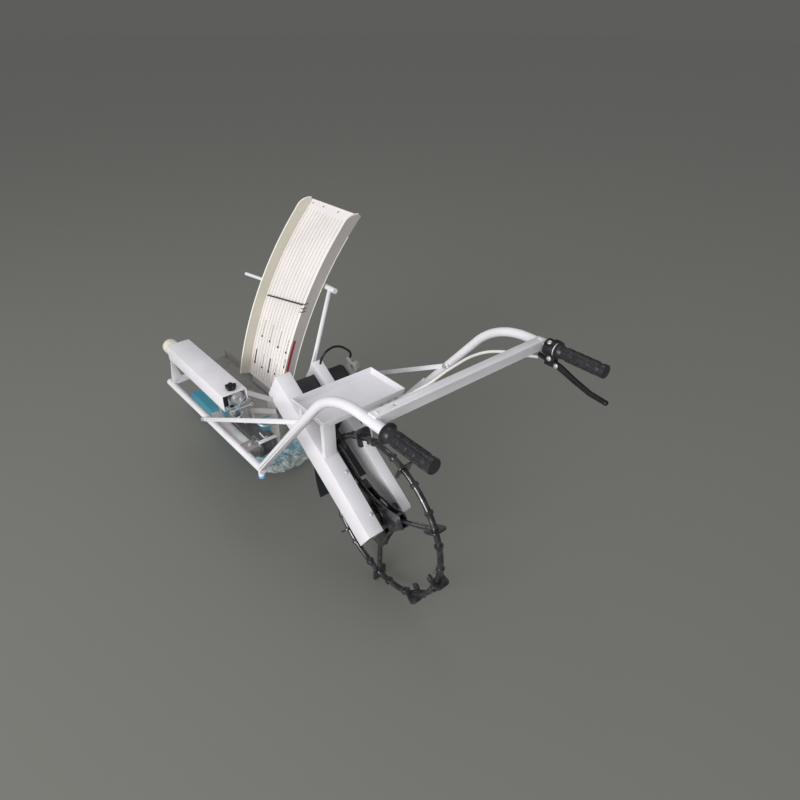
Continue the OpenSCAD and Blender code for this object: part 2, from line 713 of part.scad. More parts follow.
// cast case from the frame's cross tube to the pivot of the planting arm
module drive_case() {
    x = arm_c[0];
    z = arm_c[1];
    color([0.3, 0.31, 0.32]) place() difference() {
        union() {
            xbar(-hx + 48.3, case_x + 4 - seat, cross_y, cross_z, 36);
            for (p = [-hx + 48.3, -187, -179]) xbar(p, p + 6, cross_y, cross_z, 40);
            block([x - 30, cross_y, z - 26], [x + 22, arm_y - 42, z + 30]);
            translate([x - 4, arm_y - 42, z - 26]) cylinder(h = 56, r = 26);
            ybar(arm_y - 42, arm_y - 8, x, z, 22);
        }
        xbar(-hx, hx, cross_y, cross_z, cross_r + seat);
        ybar(arm_y - 52, arm_y + 8, x, z, 8 + run_gap);
    }
}

// flat lever on the side of the gear case
module shift_lever() {
    color([0.92, 0.91, 0.93]) place() difference() {
        union() {
            block([case_x - 52, cross_y - 41, cross_z + 36], [case_x + 4 - seat, cross_y - 27, cross_z + 41]);
            translate([case_x - 52, cross_y - 34, cross_z + 36]) cylinder(h = 5, r = 7);
        }
        translate([case_x - 52, cross_y - 34, cross_z + 30]) cylinder(h = 20, r = 3);
    }
}

// link from the drum of the feed screw down to the drive case
module feed_link() {
    x = beam_x1 - 34;
    z = beam_z1 - 29;
    y = beam_y0 - 2;
    color([0.62, 0.62, 0.63]) place() difference() {
        union() {
            ybar(y, y + 7.7, x, z, 16);
            ybar(y, y + 7.7, arm_c[0], arm_c[1] + 44, 14);
            front_plate(y, 6) polygon([[x - 11, z], [x + 11, z], [arm_c[0] + 9, arm_c[1] + 44], [arm_c[0] - 9, arm_c[1] + 44]]);
        }
        ybar(y - 1, y + 3, x, z, 7);
        block([x - 60, y - 20, arm_c[1] - 50], [x + 60, y + 20, arm_c[1] + 30 + seat]);
    }
}

module wire_loop() {
    color([0.85, 0.85, 0.86]) place() swept(route([[case_x + 3, cross_y - 50, cross_z + 96],
        [case_x - 26, cross_y - 54, cross_z + 104], [case_x - 46, cross_y - 52, cross_z + 110], [case_x - 48, cross_y - 28, cross_z + 112],
        [case_x - 28, cross_y - 17, cross_z + 106], [case_x + 3, cross_y - 14, cross_z + 100]], 3), 3, 8);
}

// float: sledge-shaped in the side view, with a narrower nose in the plan
module float() {
    x0 = float_x - float_w / 2;
    x1 = float_x + float_w / 2;
    y0 = float_y0;
    y1 = float_y1;
    h = float_h;
    color([0.31, 0.64, 0.71]) place() intersection() {
        side_plate(x0, x1 - x0) polygon([[y0, h - 30], [y0 + 8, h - 42], [y0 + 40, h * 0.22], [y0 + 80, 6], [y0 + 130, 0], [y1 - 50, 0],
            [y1 - 20, 10], [y1, 30], [y1, h - 14], [y1 - 12, h], [y0 + 110, h], [y0 + 50, h - 6], [y0 + 10, h - 20]]);
        linear_extrude(height = h) polygon([[x0 + 70, y0], [x1 - 70, y0], [x1 - 38, y0 + 12], [x1 - 12, y0 + 50], [x1, y0 + 110], [x1, y1 - 16],
            [x1 - 16, y1], [x0 + 16, y1], [x0, y1 - 16], [x0, y0 + 110], [x0 + 12, y0 + 50], [x0 + 38, y0 + 12]]);
        front_plate(y0, y1 - y0) polygon([[x0 + 16, 0], [float_x - 50, 0], [float_x - 38, 12], [float_x + 38, 12], [float_x + 50, 0], [x1 - 16, 0],
            [x1, 22], [x1, h - 12], [x1 - 10, h], [x0 + 10, h], [x0, h - 12], [x0, 22]]);
    }
}

// flat links from the cross tube forward to the float's nose
module float_arms() {
    y = float_y0 + 110;
    color([0.62, 0.62, 0.63]) place() difference() {
        for (x = [-60, 40]) side_plate(x, 6) polygon([[cross_y, cross_z - 14], [cross_y + 14, cross_z + 10], [y, float_h + 24], [y, float_h], [y - 30, float_h],
            [cross_y - 8, cross_z - 34]]);
        xbar(-hx, hx, cross_y, cross_z, cross_r);
    }
}

// posts from the rail down to the float
module float_post() {
    color([0.62, 0.62, 0.63]) place() for (y = [float_y0 + 210, float_y0 + 320]) block([-130, y, float_h], [-118, y + 20, rail_z]);
}

// cast planting arm that swings under the near end of the cover
module planting_arm() {
    x = arm_c[0];
    z = arm_c[1];
    color([0.6, 0.6, 0.62]) place() difference() {
        union() {
            ybar(arm_y, arm_y + 28, x, z, 22);
            front_plate(arm_y + 4, 20) polygon([[x - 20, z], [x + 20, z], [x + 16, z - 70], [x + 18, z - 112], [x - 4, z - 134], [x - 18, z - 106], [x - 12, z - 70]]);
            ybar(arm_y - 32, arm_y + 28, x, z, 8);
        }
        front_plate(arm_y + 16, 30) polygon([[x - 8, z - 32], [x + 8, z - 32], [x + 7, z - 78], [x - 5, z - 78]]);
    }
}

module planting_claws() {
    x = arm_c[0];
    z = arm_c[1] - 134.3;
    color([0.75, 0.75, 0.76]) place() for (y = [arm_y + 6, arm_y + 18])
        front_plate(y, 4) polygon([[x - 4, z], [x + 12, z + 16], [x + 14, z - 10], [x + 10, z - 44], [x + 4, z - 44], [x + 4, z - 14]]);
}

// an arc of the tray: r0 to r1 from its centre, h0 to h1 from its far side, between two angles
module tray_arc(r0, r1, h0, h1, a0, a1) {
    translate([tray_c[0], tray_far, tray_c[1]]) rotate([90, 0, 0]) rotate([0, 0, a0])
        rotate_extrude(angle = a1 - a0, $fn = 360) polygon([[r0, h0], [r1, h0], [r1, h1], [r0, h1]]);
}

// ribs on the tray's floor
rib_n = 15;
rib_w = 5;
rib_h = 2.5;
function rib_at(k) = 3 + (tray_w - 6) * (k + 0.5) / rib_n;
// slots in the floor: distance from the far side as a part of the width, upper and lower angle
slots = [[0.17, 155.7, 158.7], [0.365, 155.7, 158.7], [0.565, 155.9, 158.7], [0.757, 156.4, 158.7],
    [0.11, 161.1, 163.6], [0.30, 161.1, 163.6], [0.458, 161.1, 163.5], [0.618, 161.2, 163.1], [0.79, 159.5, 161]];

// seedling tray: curved floor with ribs and slots, and two side walls with round upper corners
module seedling_tray() {
    corner = on_tray(tray_r - 60, tray_ak);
    color([0.87, 0.85, 0.8]) place() difference() {
        union() {
            tray_arc(floor_r - 3, floor_r, 0, tray_w, tray_a0, tray_a1);
            for (k = [0:rib_n - 1]) tray_arc(floor_r - 1, floor_r + rib_h, rib_at(k) - rib_w / 2, rib_at(k) + rib_w / 2, tray_a0 + 1.7, tray_a1 - 0.6);
            difference() {
                for (h = [0, tray_w - 3]) tray_arc(floor_r - 3, tray_r, h, h + 3, tray_a0, tray_a1);
                difference() {
                    tray_arc(floor_r, tray_r + 5, -5, tray_w + 5, tray_a0 - 1, tray_ak);
                    ybar(tray_near - 10, tray_far + 10, corner[0], corner[1], 60.6);
                }
            }
            ybar(tray_near + 0.5, tray_far - 0.5, on_tray(floor_r - 1.5, tray_a0 + 0.05)[0], on_tray(floor_r - 1.5, tray_a0 + 0.05)[1], 3.5);
        }
        for (q = slots) tray_arc(floor_r - 5, floor_r + 5, q[0] * tray_w - 2.5, q[0] * tray_w + 2.5, q[1], q[2]);
        for (h = [0.06, 0.29, 0.6, 0.87]) translate([tray_c[0], tray_far - h * tray_w, tray_c[1]]) rotate([0, -tray_a0 - 0.55, 0])
            translate([floor_r - 10, 0, 0]) rotate([0, 90, 0]) cylinder(h = 20, r = 4);
    }
}

// hanger on the tray's back that slides on the guide tube
module tray_hanger() {
    y = tray_near + 60;
    color([0.75, 0.74, 0.7]) place() difference() {
        ybar(y, y + 24, sleeve_c[0], sleeve_c[1], sleeve_r + 15);
        ybar(y - 1, y + 25, sleeve_c[0], sleeve_c[1], sleeve_r + 0.6);
        tray_arc(floor_r - 3.3, floor_r + 60, 0, tray_w, tray_a0, tray_a1);
    }
}

// doubler behind the floor's lower end, down into the rail
module tray_foot() {
    color([0.75, 0.74, 0.7]) place()
        tray_arc(floor_r - 6.3, floor_r - 3.3, 20, tray_w - 20, 163.5, 167.2);
}

module tray_retainer() {
    a = on_tray(floor_r + rib_h + 3.5, 152);
    b = on_tray(floor_r + rib_h + 3.5, 150.1);
    color([0.08, 0.08, 0.08]) place() bar([a[0], tray_far - 18, a[1]], [b[0], tray_near + 3.2, b[1]], 2.5);
}

module tray_rod() {
    p = on_tray(floor_r - 16, 150);
    color([0.92, 0.91, 0.93]) place() {
        block([p[0] - 8, tray_far, p[1] - 14], [p[0] + 16, tray_far + 8, p[1] + 30]);
        bar([p[0], tray_far + 8, p[1]], [p[0] - 20, tray_far + 180, p[1] - 10], 6);
    }
}

handle_left();
handle_right();
handle_socket();
handle_cross_tube();
grip_left();
grip_right();
lever_perch();
lever_band();
clutch_lever();
clutch_cable();
frame_tube_left();
frame_tube_right();
frame_end_caps();
frame_cross_tube();
side_bar();
brace_left();
brace_right();
pan();
pan_posts();
chain_case_cover();
chain_case_top();
chain_case_inner();
gear_case();
wheel_arm();
arm_post();
mud_plate();
cast_bracket();
black_cable();
wheel_rim();
wheel_lugs();
wheel_hub();
feed_cover();
feed_screw();
feed_knob();
feed_end_cap();
end_plate();
rail();
rail_bars();
tray_strut();
tray_sleeve();
drive_case();
shift_lever();
feed_link();
wire_loop();
float();
float_arms();
float_post();
planting_arm();
planting_claws();
seedling_tray();
tray_hanger();
tray_foot();
tray_retainer();
tray_rod();
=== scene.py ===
"""Finishes and small parts of a walk behind rice transplanter, built round its CAD model."""

import json
import math

import bpy
from mathutils import Matrix, Vector

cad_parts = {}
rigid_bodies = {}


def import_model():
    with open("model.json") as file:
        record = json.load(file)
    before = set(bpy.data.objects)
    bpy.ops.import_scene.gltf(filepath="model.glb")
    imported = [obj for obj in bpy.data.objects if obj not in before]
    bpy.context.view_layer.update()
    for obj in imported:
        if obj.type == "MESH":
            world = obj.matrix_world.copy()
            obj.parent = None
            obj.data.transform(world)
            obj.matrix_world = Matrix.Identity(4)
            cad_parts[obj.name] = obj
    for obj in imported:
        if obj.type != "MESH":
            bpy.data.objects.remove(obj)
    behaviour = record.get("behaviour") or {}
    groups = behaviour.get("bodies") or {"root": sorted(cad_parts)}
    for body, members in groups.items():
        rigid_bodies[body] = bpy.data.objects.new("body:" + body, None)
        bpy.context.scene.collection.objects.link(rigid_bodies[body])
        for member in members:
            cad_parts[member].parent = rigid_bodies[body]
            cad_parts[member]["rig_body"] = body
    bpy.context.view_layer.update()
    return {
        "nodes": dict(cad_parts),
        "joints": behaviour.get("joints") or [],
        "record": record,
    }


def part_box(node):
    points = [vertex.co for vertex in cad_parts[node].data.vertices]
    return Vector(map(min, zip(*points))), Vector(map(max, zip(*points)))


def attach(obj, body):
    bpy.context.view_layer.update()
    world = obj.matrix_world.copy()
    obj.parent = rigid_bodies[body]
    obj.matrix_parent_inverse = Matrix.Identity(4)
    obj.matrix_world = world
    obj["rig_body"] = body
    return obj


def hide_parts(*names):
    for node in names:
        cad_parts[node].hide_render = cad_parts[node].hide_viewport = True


bl_info = {
    "name": "Walk Behind Rice Transplanter",
    "version": (1, 0, 0),
    "blender": (4, 5, 0),
    "location": "3D View > Sidebar > Transplanter",
    "description": "Finishes and small parts of a walk behind rice transplanter",
    "category": "Object",
}

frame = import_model()

# Places in the CAD model, in millimetres and degrees, with the wheel's axle at Y 0
AXLE = Vector(next(j for j in frame["joints"] if j["name"] == "wheel_spin")["pos_m"])
SHIFT_Y = AXLE.y
AXLE_Z = AXLE.z * 1000
WHEEL_X = AXLE.x * 1000
RIM_R = 256
LUG_COUNT = 9
FIRST_LUG = 153
CASE_TILT = math.radians(34.1)

# The handles: place across, height of the level grip, inner end of a grip, start of the bend, slope
HANDLE_X = 275
HANDLE_Z = 822
GRIP_Y = -275
BEND_Y = GRIP_Y + 100
HANDLE_TILT = math.radians(48.66)
HANDLE_FOOT_Z = 743.8

# The frame tubes: a place on their axis, and their fall towards the planting end
FRAME_Y = 366
FRAME_Z = AXLE_Z + 44.8
FRAME_TILT = math.radians(1.84)

# The cross feed and the drive case
CROSS_Y = 480
CROSS_Z = AXLE_Z + 41.1
CASE_X = -175


def place(x, y, z):
    """A point of the machine in metres, from millimetres measured along Y from the axle."""
    return Vector((x / 1000, y / 1000 + SHIFT_Y, z / 1000))


def slope(x, s, n):
    """A point on the chain case's slope: s along it from the axle, n square to it."""
    y = s * math.cos(CASE_TILT) - n * math.sin(CASE_TILT)
    z = AXLE_Z + s * math.sin(CASE_TILT) + n * math.cos(CASE_TILT)
    return place(x, y, z)


def on_wheel(radius, angle, x=0.0):
    """A point of the wheel, by its angle in degrees from +Y towards +Z."""
    a = math.radians(angle)
    return place(WHEEL_X + x, radius * math.cos(a), AXLE_Z + radius * math.sin(a))


# The tray: radii of the walls' edge and of the floor, the two walls, the angles of its foot and of
# the place where the walls' upper corners start, and the radius of those corners
TRAY_R = 1307.0
FLOOR_R = 1269.0
TRAY_FAR = 841.0
TRAY_NEAR = 557.0
FOOT_ANGLE = 166
CORNER_ANGLE = 137.2
CORNER_R = 60
TRAY_FOOT = (-55.6, AXLE_Z + 100.8)
TRAY_C = (
    TRAY_FOOT[0] - FLOOR_R * math.cos(math.radians(FOOT_ANGLE)),
    TRAY_FOOT[1] - FLOOR_R * math.sin(math.radians(FOOT_ANGLE)),
)


def on_tray(radius, angle, y):
    """A point of the tray's curve, by its radius and angle in degrees."""
    a = math.radians(angle)
    return place(TRAY_C[0] + radius * math.cos(a), y, TRAY_C[1] + radius * math.sin(a))


def on_handle(x, y):
    """A point on a handle's straight part."""
    return place(x, y, HANDLE_FOOT_Z - y * math.tan(HANDLE_TILT))


def on_frame(x, y):
    """A point on a frame tube's axis."""
    return place(x, y, FRAME_Z - (y - FRAME_Y) * math.tan(FRAME_TILT))


def linear(code):
    """A linear colour from an sRGB hex code."""
    parts = [int(code[i:i + 2], 16) / 255 for i in (0, 2, 4)]
    return tuple(c / 12.92 if c <= 0.04045 else ((c + 0.055) / 1.055) ** 2.4 for c in parts)


class TransplanterSizes(bpy.types.PropertyGroup):
    """Sizes of the pieces that are added to the CAD model."""

    edge: bpy.props.FloatProperty(
        name="Folded edge", description="Radius of the folded sheet's outer edges",
        default=0.0016, min=0.0002, max=0.004, unit="LENGTH")
    weld: bpy.props.FloatProperty(
        name="Weld bead", description="Thickness of the weld beads",
        default=0.0028, min=0.001, max=0.005, unit="LENGTH")
    lip: bpy.props.FloatProperty(
        name="Tray lip", description="Thickness of the bead on the tray's edge",
        default=0.0052, min=0.002, max=0.008, unit="LENGTH")
    pad_height: bpy.props.FloatProperty(
        name="Grip pads", description="Height of the raised pads on a grip",
        default=0.0015, min=0.0005, max=0.003, unit="LENGTH")
    floor_size: bpy.props.FloatProperty(
        name="Floor", description="Width of the studio floor",
        default=120.0, min=5.0, max=200.0, unit="LENGTH")


def colour_property(name, description, code):
    """A colour that a user can change, with its default as sRGB hex."""
    return bpy.props.FloatVectorProperty(
        name=name, description=description, subtype="COLOR", size=3, min=0, max=1, default=linear(code))


class TransplanterColours(bpy.types.PropertyGroup):
    """Colours of the finishes."""

    paint: colour_property("Powder coat", "White powder coat of the frame and covers", "e8e6ea")
    wheel: colour_property("Wheel", "Dark coat of the wheel", "57565a")
    tray: colour_property("Tray", "Moulded plastic of the seedling tray", "ebe5e4")
    float_body: colour_property("Float", "Blow moulded plastic of the float", "3f8fa3")
    rubber: colour_property("Rubber", "Rubber of the grips", "2d2c2f")
    caps: colour_property("Tube caps", "Plastic caps of the frame tubes", "6aaee0")
    strip: colour_property("Strip", "Strip on the tray's side wall", "a5353f")
    floor: colour_property("Floor", "Studio floor and backdrop", "7b7b75")


def sizes():
    return bpy.context.scene.transplanter_sizes


def colours():
    return bpy.context.scene.transplanter_colours


# Materials

def add(tree, kind, inputs=None, **settings):
    """Adds a shader node. Inputs are values, or outputs of other nodes to link."""
    node = tree.nodes.new("ShaderNode" + kind)
    for key, value in settings.items():
        setattr(node, key, value)
    for key, value in (inputs or {}).items():
        if isinstance(value, bpy.types.NodeSocket):
            tree.links.new(value, node.inputs[key])
        else:
            node.inputs[key].default_value = value
    return node


def new_finish(name, colour, roughness, metallic=0.0, **shader_values):
    """A material with its shader set to plain values, and the Object coordinates."""
    material = bpy.data.materials.new(name)
    material.use_nodes = True
    tree = material.node_tree
    shader = tree.nodes["Principled BSDF"]
    shader.inputs["Base Color"].default_value = (*colour, 1)
    shader.inputs["Roughness"].default_value = roughness
    shader.inputs["Metallic"].default_value = metallic
    for key, value in shader_values.items():
        shader.inputs[key.replace("_", " ")].default_value = value
    coords = add(tree, "TexCoord").outputs["Object"]
    material.diffuse_color = (*colour, 1)
    return material, tree, shader, coords


def tone(colour, factor=1.0):
    """A lighter or darker tone of a colour, with its alpha."""
    return (*[min(1.0, c * factor) for c in colour], 1)


def cloud(coords, size, detail, roughness):
    """The inputs of a noise pattern with features of this many millimetres."""
    return {"Vector": coords, "Scale": 1000.0 / size, "Detail": detail, "Roughness": roughness}


def patches(tree, coords, size, low=0.0, high=1.0, to_low=0.0, to_high=1.0, detail=4, roughness=0.55):
    """Soft patches of this many millimetres. Low..high of their pattern becomes to_low..to_high."""
    pattern = add(tree, "TexNoise", cloud(coords, size, detail, roughness)).outputs["Fac"]
    return add(tree, "MapRange", {
        "Value": pattern, "From Min": low, "From Max": high, "To Min": to_low, "To Max": to_high,
    }).outputs["Result"]


def layer(tree, shader, under, over, share):
    """Lays one colour over another by a share, and gives the result to the shader."""
    colour = add(tree, "Mix", {0: share, 6: under, 7: over}, data_type="RGBA").outputs[2]
    tree.links.new(colour, shader.inputs["Base Color"])
    return colour


def dusted(tree, shader, coords, under, dust, amount):
    """Lays settled dust over the faces that look up, in soft patches."""
    normal = add(tree, "NewGeometry").outputs["Normal"]
    up = add(tree, "SeparateXYZ", {"Vector": normal}).outputs["Z"]
    facing = add(tree, "MapRange", {"Value": up, "From Min": 0.3, "To Max": amount}).outputs["Result"]
    settled = patches(tree, coords, 60, 0.35, 0.75, 0.2, 1.0, detail=5)
    share = add(tree, "Math", {0: facing, 1: settled}, operation="MULTIPLY").outputs[0]
    return layer(tree, shader, under, tone(linear(dust)), share)


def vary(tree, shader, key, value, at_none, at_full, full=1.0):
    """Gives an input of the shader one amount where a value is 0, and another where it is full."""
    varied = add(tree, "MapRange", {
        "Value": value, "From Max": full, "To Min": at_none, "To Max": at_full}).outputs["Result"]
    tree.links.new(varied, shader.inputs[key])


def grained(tree, shader, coords, size, depth, detail=2, roughness=0.55, target="Normal"):
    """Raises the surface in a grain of this many millimetres, by this many metres at most."""
    pattern = add(tree, "TexNoise", cloud(coords, size, detail, roughness)).outputs["Fac"]
    normal = add(tree, "Bump", {"Height": pattern, "Distance": depth}).outputs["Normal"]
    tree.links.new(normal, shader.inputs[target])


def powder_coat():
    """Polyester powder coat on sheet steel: satin, with a faint orange peel and settled dust."""
    base = colours().paint
    material, tree, shader, coords = new_finish("Satin powder coat", base, 0.4)
    cloudy = patches(tree, coords, 90, 0.3, 0.7)
    colour = layer(tree, shader, tone(base, 0.94), tone(base, 1.02), cloudy)
    dusted(tree, shader, coords, colour, dust="b9b4ae", amount=0.16)
    tree.links.new(patches(tree, coords, 30, 0.3, 0.7, 0.34, 0.5), shader.inputs["Roughness"])
    grained(tree, shader, coords, 1.8, 0.00006)
    return material


def dark_wheel_coat():
    """Thin dark coat on welded steel tube: half metallic sheen, rubbed paler in places."""
    base = colours().wheel
    material, tree, shader, coords = new_finish(
        "Dark coated steel", base, 0.24, 0.8, Coat_Weight=1.0, Coat_Roughness=0.14)
    rubbed = patches(tree, coords, 22, 0.48, 0.72, detail=6, roughness=0.65)
    colour = layer(tree, shader, tone(base, 0.7), tone(base, 2.2), rubbed)
    dusted(tree, shader, coords, colour, dust="6b675f", amount=0.12)
    vary(tree, shader, "Roughness", rubbed, 0.34, 0.2)
    grained(tree, shader, coords, 2.5, 0.00015, detail=3)
    return material


def moulded_tray():
    """Injection moulded ABS: warm white, with specks, and painted shade that greys the walls' faces towards
    -Y.
    """
    base = colours().tray
    material, tree, shader, coords = new_finish("Moulded ABS, warm white", base, 0.42)
    cloudy = patches(tree, coords, 120, 0.35, 0.65, detail=5)
    colour = layer(tree, shader, tone(base, 0.93), tone(base, 1.03), cloudy)
    specks = patches(tree, coords, 7, 0.62, 0.72, 0.0, 0.35, detail=5, roughness=0.7)
    colour = layer(tree, shader, colour, tone(linear("a79f8f")), specks)
    # Painted shade on the faces that look to -Y: the near wall's outer one is greyer than the far wall's
    # inner one
    normal = add(tree, "NewGeometry").outputs["Normal"]
    across = add(tree, "SeparateXYZ", {"Vector": normal}).outputs["Y"]
    wall_shade_share = add(tree, "MapRange", {
        "Value": across, "From Min": -0.6, "From Max": -0.95, "To Max": 0.75}).outputs["Result"]
    outer = add(tree, "MapRange", {
        "Value": add(tree, "SeparateXYZ", {"Vector": coords}).outputs["Y"],
        "From Min": place(0, TRAY_NEAR + 4, 0).y, "From Max": place(0, TRAY_NEAR + 2, 0).y,
    }).outputs["Result"]
    # Painted shade colours: the far wall's inner face, then the near wall's outer face
    wall_shade_colour = add(tree, "Mix", {
        0: outer, 6: tone(linear("cbc7b2")), 7: tone(linear("a59f9a"))}, data_type="RGBA").outputs[2]
    layer(tree, shader, colour, wall_shade_colour, wall_shade_share)
    tree.links.new(patches(tree, coords, 25, 0.3, 0.7, 0.36, 0.52), shader.inputs["Roughness"])
    grained(tree, shader, coords, 1.2, 0.00005)
    return material


def float_plastic():
    """Blow moulded polyethylene: waxy teal under the sheen of a thin wrinkled film, with pale streaks of
    painted highlight from that film.
    """
    base = colours().float_body
    material, tree, shader, coords = new_finish(
        "Blow moulded polyethylene", base, 0.34, Coat_Weight=0.7, Coat_Roughness=0.14)
    colour = layer(tree, shader, tone(base, 0.8), tone(base, 1.15), patches(tree, coords, 80, 0.3, 0.7))
    # Pale streaks: painted highlight, the film's sheen laid into the colour
    painted_film_sheen = patches(tree, coords, 38, 0.6, 0.72, 0.0, 0.4, detail=6, roughness=0.7)
    layer(tree, shader, colour, tone(linear("b4d6dc")), painted_film_sheen)
    grained(tree, shader, coords, 9, 0.0004, detail=3)
    grained(tree, shader, coords, 45, 0.006, detail=5, roughness=0.65, target="Coat Normal")
    return material


def clear_film():
    """Thin clear polyethylene film, milky along its creases, where the whiter patches are partly painted
    highlight.
    """
    material, tree, shader, coords = new_finish("Clear polyethylene film", linear("dfe9ea"), 0.12)
    milky_and_highlight_patches = patches(tree, coords, 26, 0.42, 0.68, detail=5, roughness=0.7)
    # Whiter, more opaque patches: the film's milkiness, and painted highlight
    vary(tree, shader, "Alpha", milky_and_highlight_patches, 0.14, 0.6)
    vary(tree, shader, "Roughness", milky_and_highlight_patches, 0.06, 0.3)
    grained(tree, shader, coords, 14, 0.004, detail=5, roughness=0.7)
    return material


def grip_rubber():
    """Moulded rubber: near black, matt, with a fine grain and grey bloom."""
    base = colours().rubber
    material, tree, shader, coords = new_finish("Moulded rubber", base, 0.45)
    bloom = patches(tree, coords, 14, 0.5, 0.8, 0.0, 0.4, detail=5, roughness=0.65)
    layer(tree, shader, tone(base), tone(linear("55545a")), bloom)
    vary(tree, shader, "Roughness", bloom, 0.3, 0.45, full=0.6)
    grained(tree, shader, coords, 0.9, 0.00012)
    return material


def plain_finish(name, code, roughness, metallic, spread, size, grain, depth):
    """A finish with tone changes (spread, size in mm) and a fine grain (grain in mm, depth in m)."""
    base = linear(code)
    material, tree, shader, coords = new_finish(name, base, roughness, metallic)
    cloudy = patches(tree, coords, size, 0.3, 0.7)
    layer(tree, shader, tone(base, 1 - spread), tone(base, 1 + spread), cloudy)
    vary(tree, shader, "Roughness", cloudy, roughness - 0.06, roughness + 0.08)
    grained(tree, shader, coords, grain, depth)
    return material


def cast_aluminium():
    """Sand cast aluminium: grey, grainy and dull."""
    return plain_finish(
        "Sand cast aluminium", "b4b3b1", roughness=0.5, metallic=0.6,
        spread=0.16, size=12, grain=1.4, depth=0.0003)


def dark_casting():
    """Cast iron case under dark grey enamel."""
    return plain_finish(
        "Dark grey enamel", "55585a", roughness=0.36, metallic=0.1,
        spread=0.15, size=30, grain=3.0, depth=0.0002)


def zinc_plate():
    """Zinc plated steel: bright, bluish, with cloudy patches."""
    return plain_finish(
        "Zinc plated steel", "d6d6d8", roughness=0.34, metallic=0.6,
        spread=0.05, size=24, grain=0.8, depth=0.00002)


def dull_rail():
    """The wide rail under the feed cover: plated steel, duller and darker than the zinc plate."""
    return plain_finish(
        "Dulled plated steel", "a09e99", roughness=0.5, metallic=0.3,
        spread=0.16, size=30, grain=2.0, depth=0.00006)


def black_abs():
    """Moulded black ABS with a fine spark texture."""
    return plain_finish(
        "Moulded black ABS", "1c1c1f", roughness=0.42, metallic=0.0,
        spread=0.25, size=15, grain=0.8, depth=0.00006)


def mud_plate_coat():
    """Black coated sheet with dusty scuffs."""
    base = linear("26272e")
    material, tree, shader, coords = new_finish("Black coated sheet", base, 0.45)
    dusted(tree, shader, coords, tone(base), dust="57565a", amount=0.35)
    grained(tree, shader, coords, 2.2, 0.00015, detail=3)
    return material


def cable_sheath():
    """Extruded PVC sheath, pale grey and glossy."""
    return plain_finish(
        "PVC cable sheath", "e4e2dc", roughness=0.28, metallic=0.0,
        spread=0.06, size=30, grain=4.0, depth=0.00003)


def black_sheath():
    """Extruded black PVC sheath."""
    return plain_finish(
        "Black PVC sheath", "17171a", roughness=0.3, metallic=0.0,
        spread=0.15, size=30, grain=4.0, depth=0.00003)


def blue_cap():
    """Soft blue polyethylene cap."""
    base = colours().caps
    material, tree, shader, coords = new_finish("Blue polyethylene", base, 0.35)
    layer(tree, shader, tone(base, 0.85), tone(base, 1.15), patches(tree, coords, 12, detail=3))
    grained(tree, shader, coords, 3, 0.0001)
    return material


def cream_plastic():
    """Moulded cream polypropylene."""
    return plain_finish(
        "Cream polypropylene", "d9d4c0", roughness=0.36, metallic=0.0,
        spread=0.05, size=25, grain=1.5, depth=0.00004)


def red_strip():
    """Smooth red vinyl strip."""
    base = colours().strip
    material, tree, shader, coords = new_finish("Red vinyl", base, 0.35)
    layer(tree, shader, tone(base, 0.8), tone(base, 1.2), patches(tree, coords, 16))
    grained(tree, shader, coords, 5, 0.0001)
    return material


def studio_floor():
    """Matt painted floor of the studio, nearly even in tone."""
    base = colours().floor
    material, tree, shader, coords = new_finish("Matt studio floor", base, 0.9, Specular_IOR_Level=0.15)
    layer(tree, shader, tone(base, 0.985), tone(base, 1.015), patches(tree, coords, 900, detail=3))
    return material


def label_film():
    """Blank vinyl label: smooth, cool white."""
    return plain_finish(
        "Blank vinyl label", "e4e8e6", roughness=0.25, metallic=0.0,
        spread=0.03, size=30, grain=4.0, depth=0.00002)


def tray_edge():
    """The tray's rolled edge, the same ABS, glossier, and paler as a painted highlight."""
    return plain_finish(
        "Moulded ABS, edge with painted highlight", "efece2", roughness=0.3, metallic=0.0,
        spread=0.03, size=40, grain=1.5, depth=0.00003)


FINISHES = {
    "tray_edge": tray_edge,
    "label_film": label_film,
    "white_paint": powder_coat,
    "wheel_iron": dark_wheel_coat,
    "tray_plastic": moulded_tray,
    "float_plastic": float_plastic,
    "clear_film": clear_film,
    "grip_rubber": grip_rubber,
    "cast_metal": cast_aluminium,
    "dark_case": dark_casting,
    "bright_steel": zinc_plate,
    "dull_rail": dull_rail,
    "black_plastic": black_abs,
    "black_rubber": mud_plate_coat,
    "cable_sheath": cable_sheath,
    "black_wire": black_sheath,
    "blue_plastic": blue_cap,
    "cream_plastic": cream_plastic,
    "red_strip": red_strip,
}
OWN_FINISH = {"rail": "dull_rail"}  # nodes with another finish than their material slot's
made_finishes = {}


def finish_of(slot):
    """The material of a finish, made once."""
    if slot not in made_finishes:
        made_finishes[slot] = FINISHES[slot]()
    return made_finishes[slot]


# Modelling

def deselect():
    if bpy.context.object and bpy.context.object.mode != "OBJECT":
        bpy.ops.object.mode_set(mode="OBJECT")
    bpy.ops.object.select_all(action="DESELECT")


def only(obj):
    """Selects this object alone and makes it active."""
    deselect()
    obj.select_set(True)
    bpy.context.view_layer.objects.active = obj


def edit_all(obj):
    """Opens the object for editing with all of it selected."""
    only(obj)
    bpy.ops.object.mode_set(mode="EDIT")
    bpy.ops.mesh.select_all(action="SELECT")


def leave_edit():
    bpy.ops.object.mode_set(mode="OBJECT")


def modify(obj, kind, **values):
    """Adds a modifier and applies it."""
    only(obj)
    modifier = obj.modifiers.new(kind.title(), kind)
    for key, value in values.items():
        setattr(modifier, key, value)
    bpy.ops.object.modifier_apply(modifier=modifier.name)


def set_down(obj):
    """Puts the object's turn, size and place into its mesh."""
    only(obj)
    bpy.ops.object.transform_apply(location=True, rotation=True, scale=True)


def linked(name, data):
    """A new object of the scene with this data."""
    obj = bpy.data.objects.new(name, data)
    bpy.context.scene.collection.objects.link(obj)
    return obj


